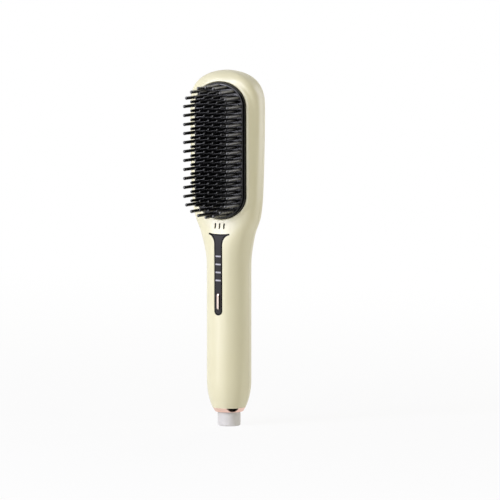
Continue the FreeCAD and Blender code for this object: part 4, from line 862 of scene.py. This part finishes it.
# Studio: the camera at the photograph's angle, a white floor and surround, and five soft lamps.
# A black cloth, which only shows in reflections, gives the plated pieces their dark side.
CAMERA_AZIMUTH = math.radians(29.5)
CAMERA_ELEVATION = math.radians(5.5)
CAMERA_DISTANCE = 4.0
LENS = 459.5
SENSOR = 36.0
SIGHT = 20.0
AIM_RIGHT = 13.1 * MM
AIM_HEIGHT = 110.55 * MM


def bearing(azimuth, elevation=0.0):
    """Unit vector from the object to a place round it: azimuth 0 is in front, and a quarter turn is +X."""
    return Vector((math.sin(azimuth) * math.cos(elevation), -math.cos(azimuth) * math.cos(elevation),
                   math.sin(elevation)))


right = Vector((math.cos(CAMERA_AZIMUTH), math.sin(CAMERA_AZIMUTH), 0))
aim = right * AIM_RIGHT + Vector((0, 0, AIM_HEIGHT))
towards = bearing(CAMERA_AZIMUTH, CAMERA_ELEVATION)
bpy.ops.object.camera_add(location=aim + towards * CAMERA_DISTANCE,
                          rotation=(-towards).to_track_quat("-Z", "Y").to_euler())
camera = bpy.context.object
camera.data.lens = LENS
camera.data.sensor_width = SENSOR
camera.data.clip_end = SIGHT
bpy.context.scene.camera = camera
bpy.context.scene.view_settings.view_transform = "Standard"

# Each lamp's name, azimuth and elevation in degrees, distance, width and height in metres, watts and tint.
# The back lamp has no reflection, because it would whiten the head's outline at a grazing angle.
LAMPS = (
    ("key", -30.0, 18.0, 1.3, 0.3, 1.2, 9.7, "#efefff"),
    ("front", -8.0, 26.0, 1.3, 0.7, 1.2, 7.3, "#f0f0ff"),
    ("side", 90.0, 10.0, 1.2, 0.5, 1.2, 3.4, "#fff8e4"),
    ("rim", 150.0, 10.0, 1.2, 0.5, 1.2, 3.6, "#efeeff"),
    ("back", 195.0, 6.0, 1.3, 0.7, 1.0, 10.0, "#fffaf4"),
)
for name, azimuth, elevation, distance, width, height, power, tint in LAMPS:
    direction = bearing(math.radians(azimuth), math.radians(elevation))
    bpy.ops.object.light_add(type="AREA", location=aim + direction * distance,
                             rotation=(-direction).to_track_quat("-Z", "Y").to_euler())
    lamp = bpy.context.object
    lamp.name = name + "_lamp"
    lamp.data.shape = "RECTANGLE"
    lamp.data.size = width
    lamp.data.size_y = height
    lamp.data.energy = power
    lamp.data.color = linear(tint)[:3]
    lamp.visible_glossy = name != "back"


def seen_as_white(tree):
    """1 on camera, glossy and transmitted rays, 0 on the rays that light the object."""
    rays = add(tree, "ShaderNodeLightPath").outputs
    mirrored = add(tree, "ShaderNodeMath", {0: rays["Is Camera Ray"], 1: rays["Is Glossy Ray"]},
                   operation="MAXIMUM")
    return add(tree, "ShaderNodeMath", {0: mirrored.outputs[0], 1: rays["Is Transmission Ray"]},
               operation="MAXIMUM").outputs[0]


AMBIENT = 0.17
world = bpy.data.worlds.new("white_surround")
bpy.context.scene.world = world
world.use_nodes = True
tree = world.node_tree
fill = tree.nodes["Background"]
fill.inputs["Color"].default_value = linear("#fff7e8")
fill.inputs["Strength"].default_value = AMBIENT
backdrop = add(tree, "ShaderNodeBackground", {"Color": linear("#ffffff"), "Strength": 1.0})
choice = add(tree, "ShaderNodeMixShader", {0: seen_as_white(tree), 1: fill.outputs[0],
                                           2: backdrop.outputs[0]})
tree.links.new(choice.outputs[0], tree.nodes["World Output"].inputs["Surface"])

FLOOR_SIZE = 16.0
FLOOR_GLOW = 0.9
FLOOR_NEAR = 0.1
FLOOR_FAR = 1.0
bpy.ops.object.select_all(action="DESELECT")
bpy.ops.mesh.primitive_plane_add(size=FLOOR_SIZE, location=(0, 0, 0))
floor = bpy.context.object
floor.name = "floor"
# Matt white paint gives no highlights, and its glow grows outwards, so that shadows fade into the surround.
floor_paint = bpy.data.materials.new("white_studio_floor")
floor_paint.use_nodes = True
tree = floor_paint.node_tree
paint = tree.nodes["Principled BSDF"]
paint.inputs["Base Color"].default_value = linear("#fbfbfb")
paint.inputs["Roughness"].default_value = 1.0
paint.inputs["Specular IOR Level"].default_value = 0.0
glow = add(tree, "ShaderNodeEmission", {"Color": linear("#ffffff"), "Strength": 1.0})
place = add(tree, "ShaderNodeTexCoord").outputs["Object"]
distance = add(tree, "ShaderNodeVectorMath", {0: place}, operation="LENGTH").outputs["Value"]
fade = add(tree, "ShaderNodeMapRange", {"Value": distance, "From Min": FLOOR_NEAR, "From Max": FLOOR_FAR,
                                        "To Min": FLOOR_GLOW, "To Max": 1.0}).outputs["Result"]
share = add(tree, "ShaderNodeMath", {0: seen_as_white(tree), 1: fade}, operation="MULTIPLY")
mixed = add(tree, "ShaderNodeMixShader", {0: share.outputs[0], 1: paint.outputs[0], 2: glow.outputs[0]})
tree.links.new(mixed.outputs[0], tree.nodes["Material Output"].inputs["Surface"])
floor.data.materials.append(floor_paint)

# Rows of the cloth from the ring outwards: radius and height in metres, first and last azimuth in degrees.
FLAG_STEPS = 24
FLAG_ROWS = ((0.0122, 0.001, 46.0, 49.0), (0.0162, 0.001, 10.0, 91.0), (0.3, 0.001, 10.0, 91.0),
             (0.34, 0.04, 20.0, 107.0), (0.34, 0.6, 20.0, 107.0))
bpy.ops.object.select_all(action="DESELECT")
bpy.ops.mesh.primitive_grid_add(x_subdivisions=FLAG_STEPS, y_subdivisions=len(FLAG_ROWS) - 1, size=1)
flag = bpy.context.object
flag.name = "black_flag"
for vertex in flag.data.vertices:
    radius, height, first, last = FLAG_ROWS[round((vertex.co.y + 0.5) * (len(FLAG_ROWS) - 1))]
    turn = math.radians(first + (last - first) * (vertex.co.x + 0.5))
    vertex.co = bearing(turn) * radius + Vector((0, 0, height))
# Matt black cloth gives no highlight, so what mirrors it goes dark.
cloth = bpy.data.materials.new("black_studio_cloth")
cloth.use_nodes = True
weave = cloth.node_tree.nodes["Principled BSDF"].inputs
weave["Base Color"].default_value = linear("#020202")
weave["Roughness"].default_value = 1.0
weave["Specular IOR Level"].default_value = 0.0
flag.data.materials.append(cloth)
flag.visible_camera = False
flag.visible_diffuse = False
flag.visible_shadow = False
flag.visible_transmission = False
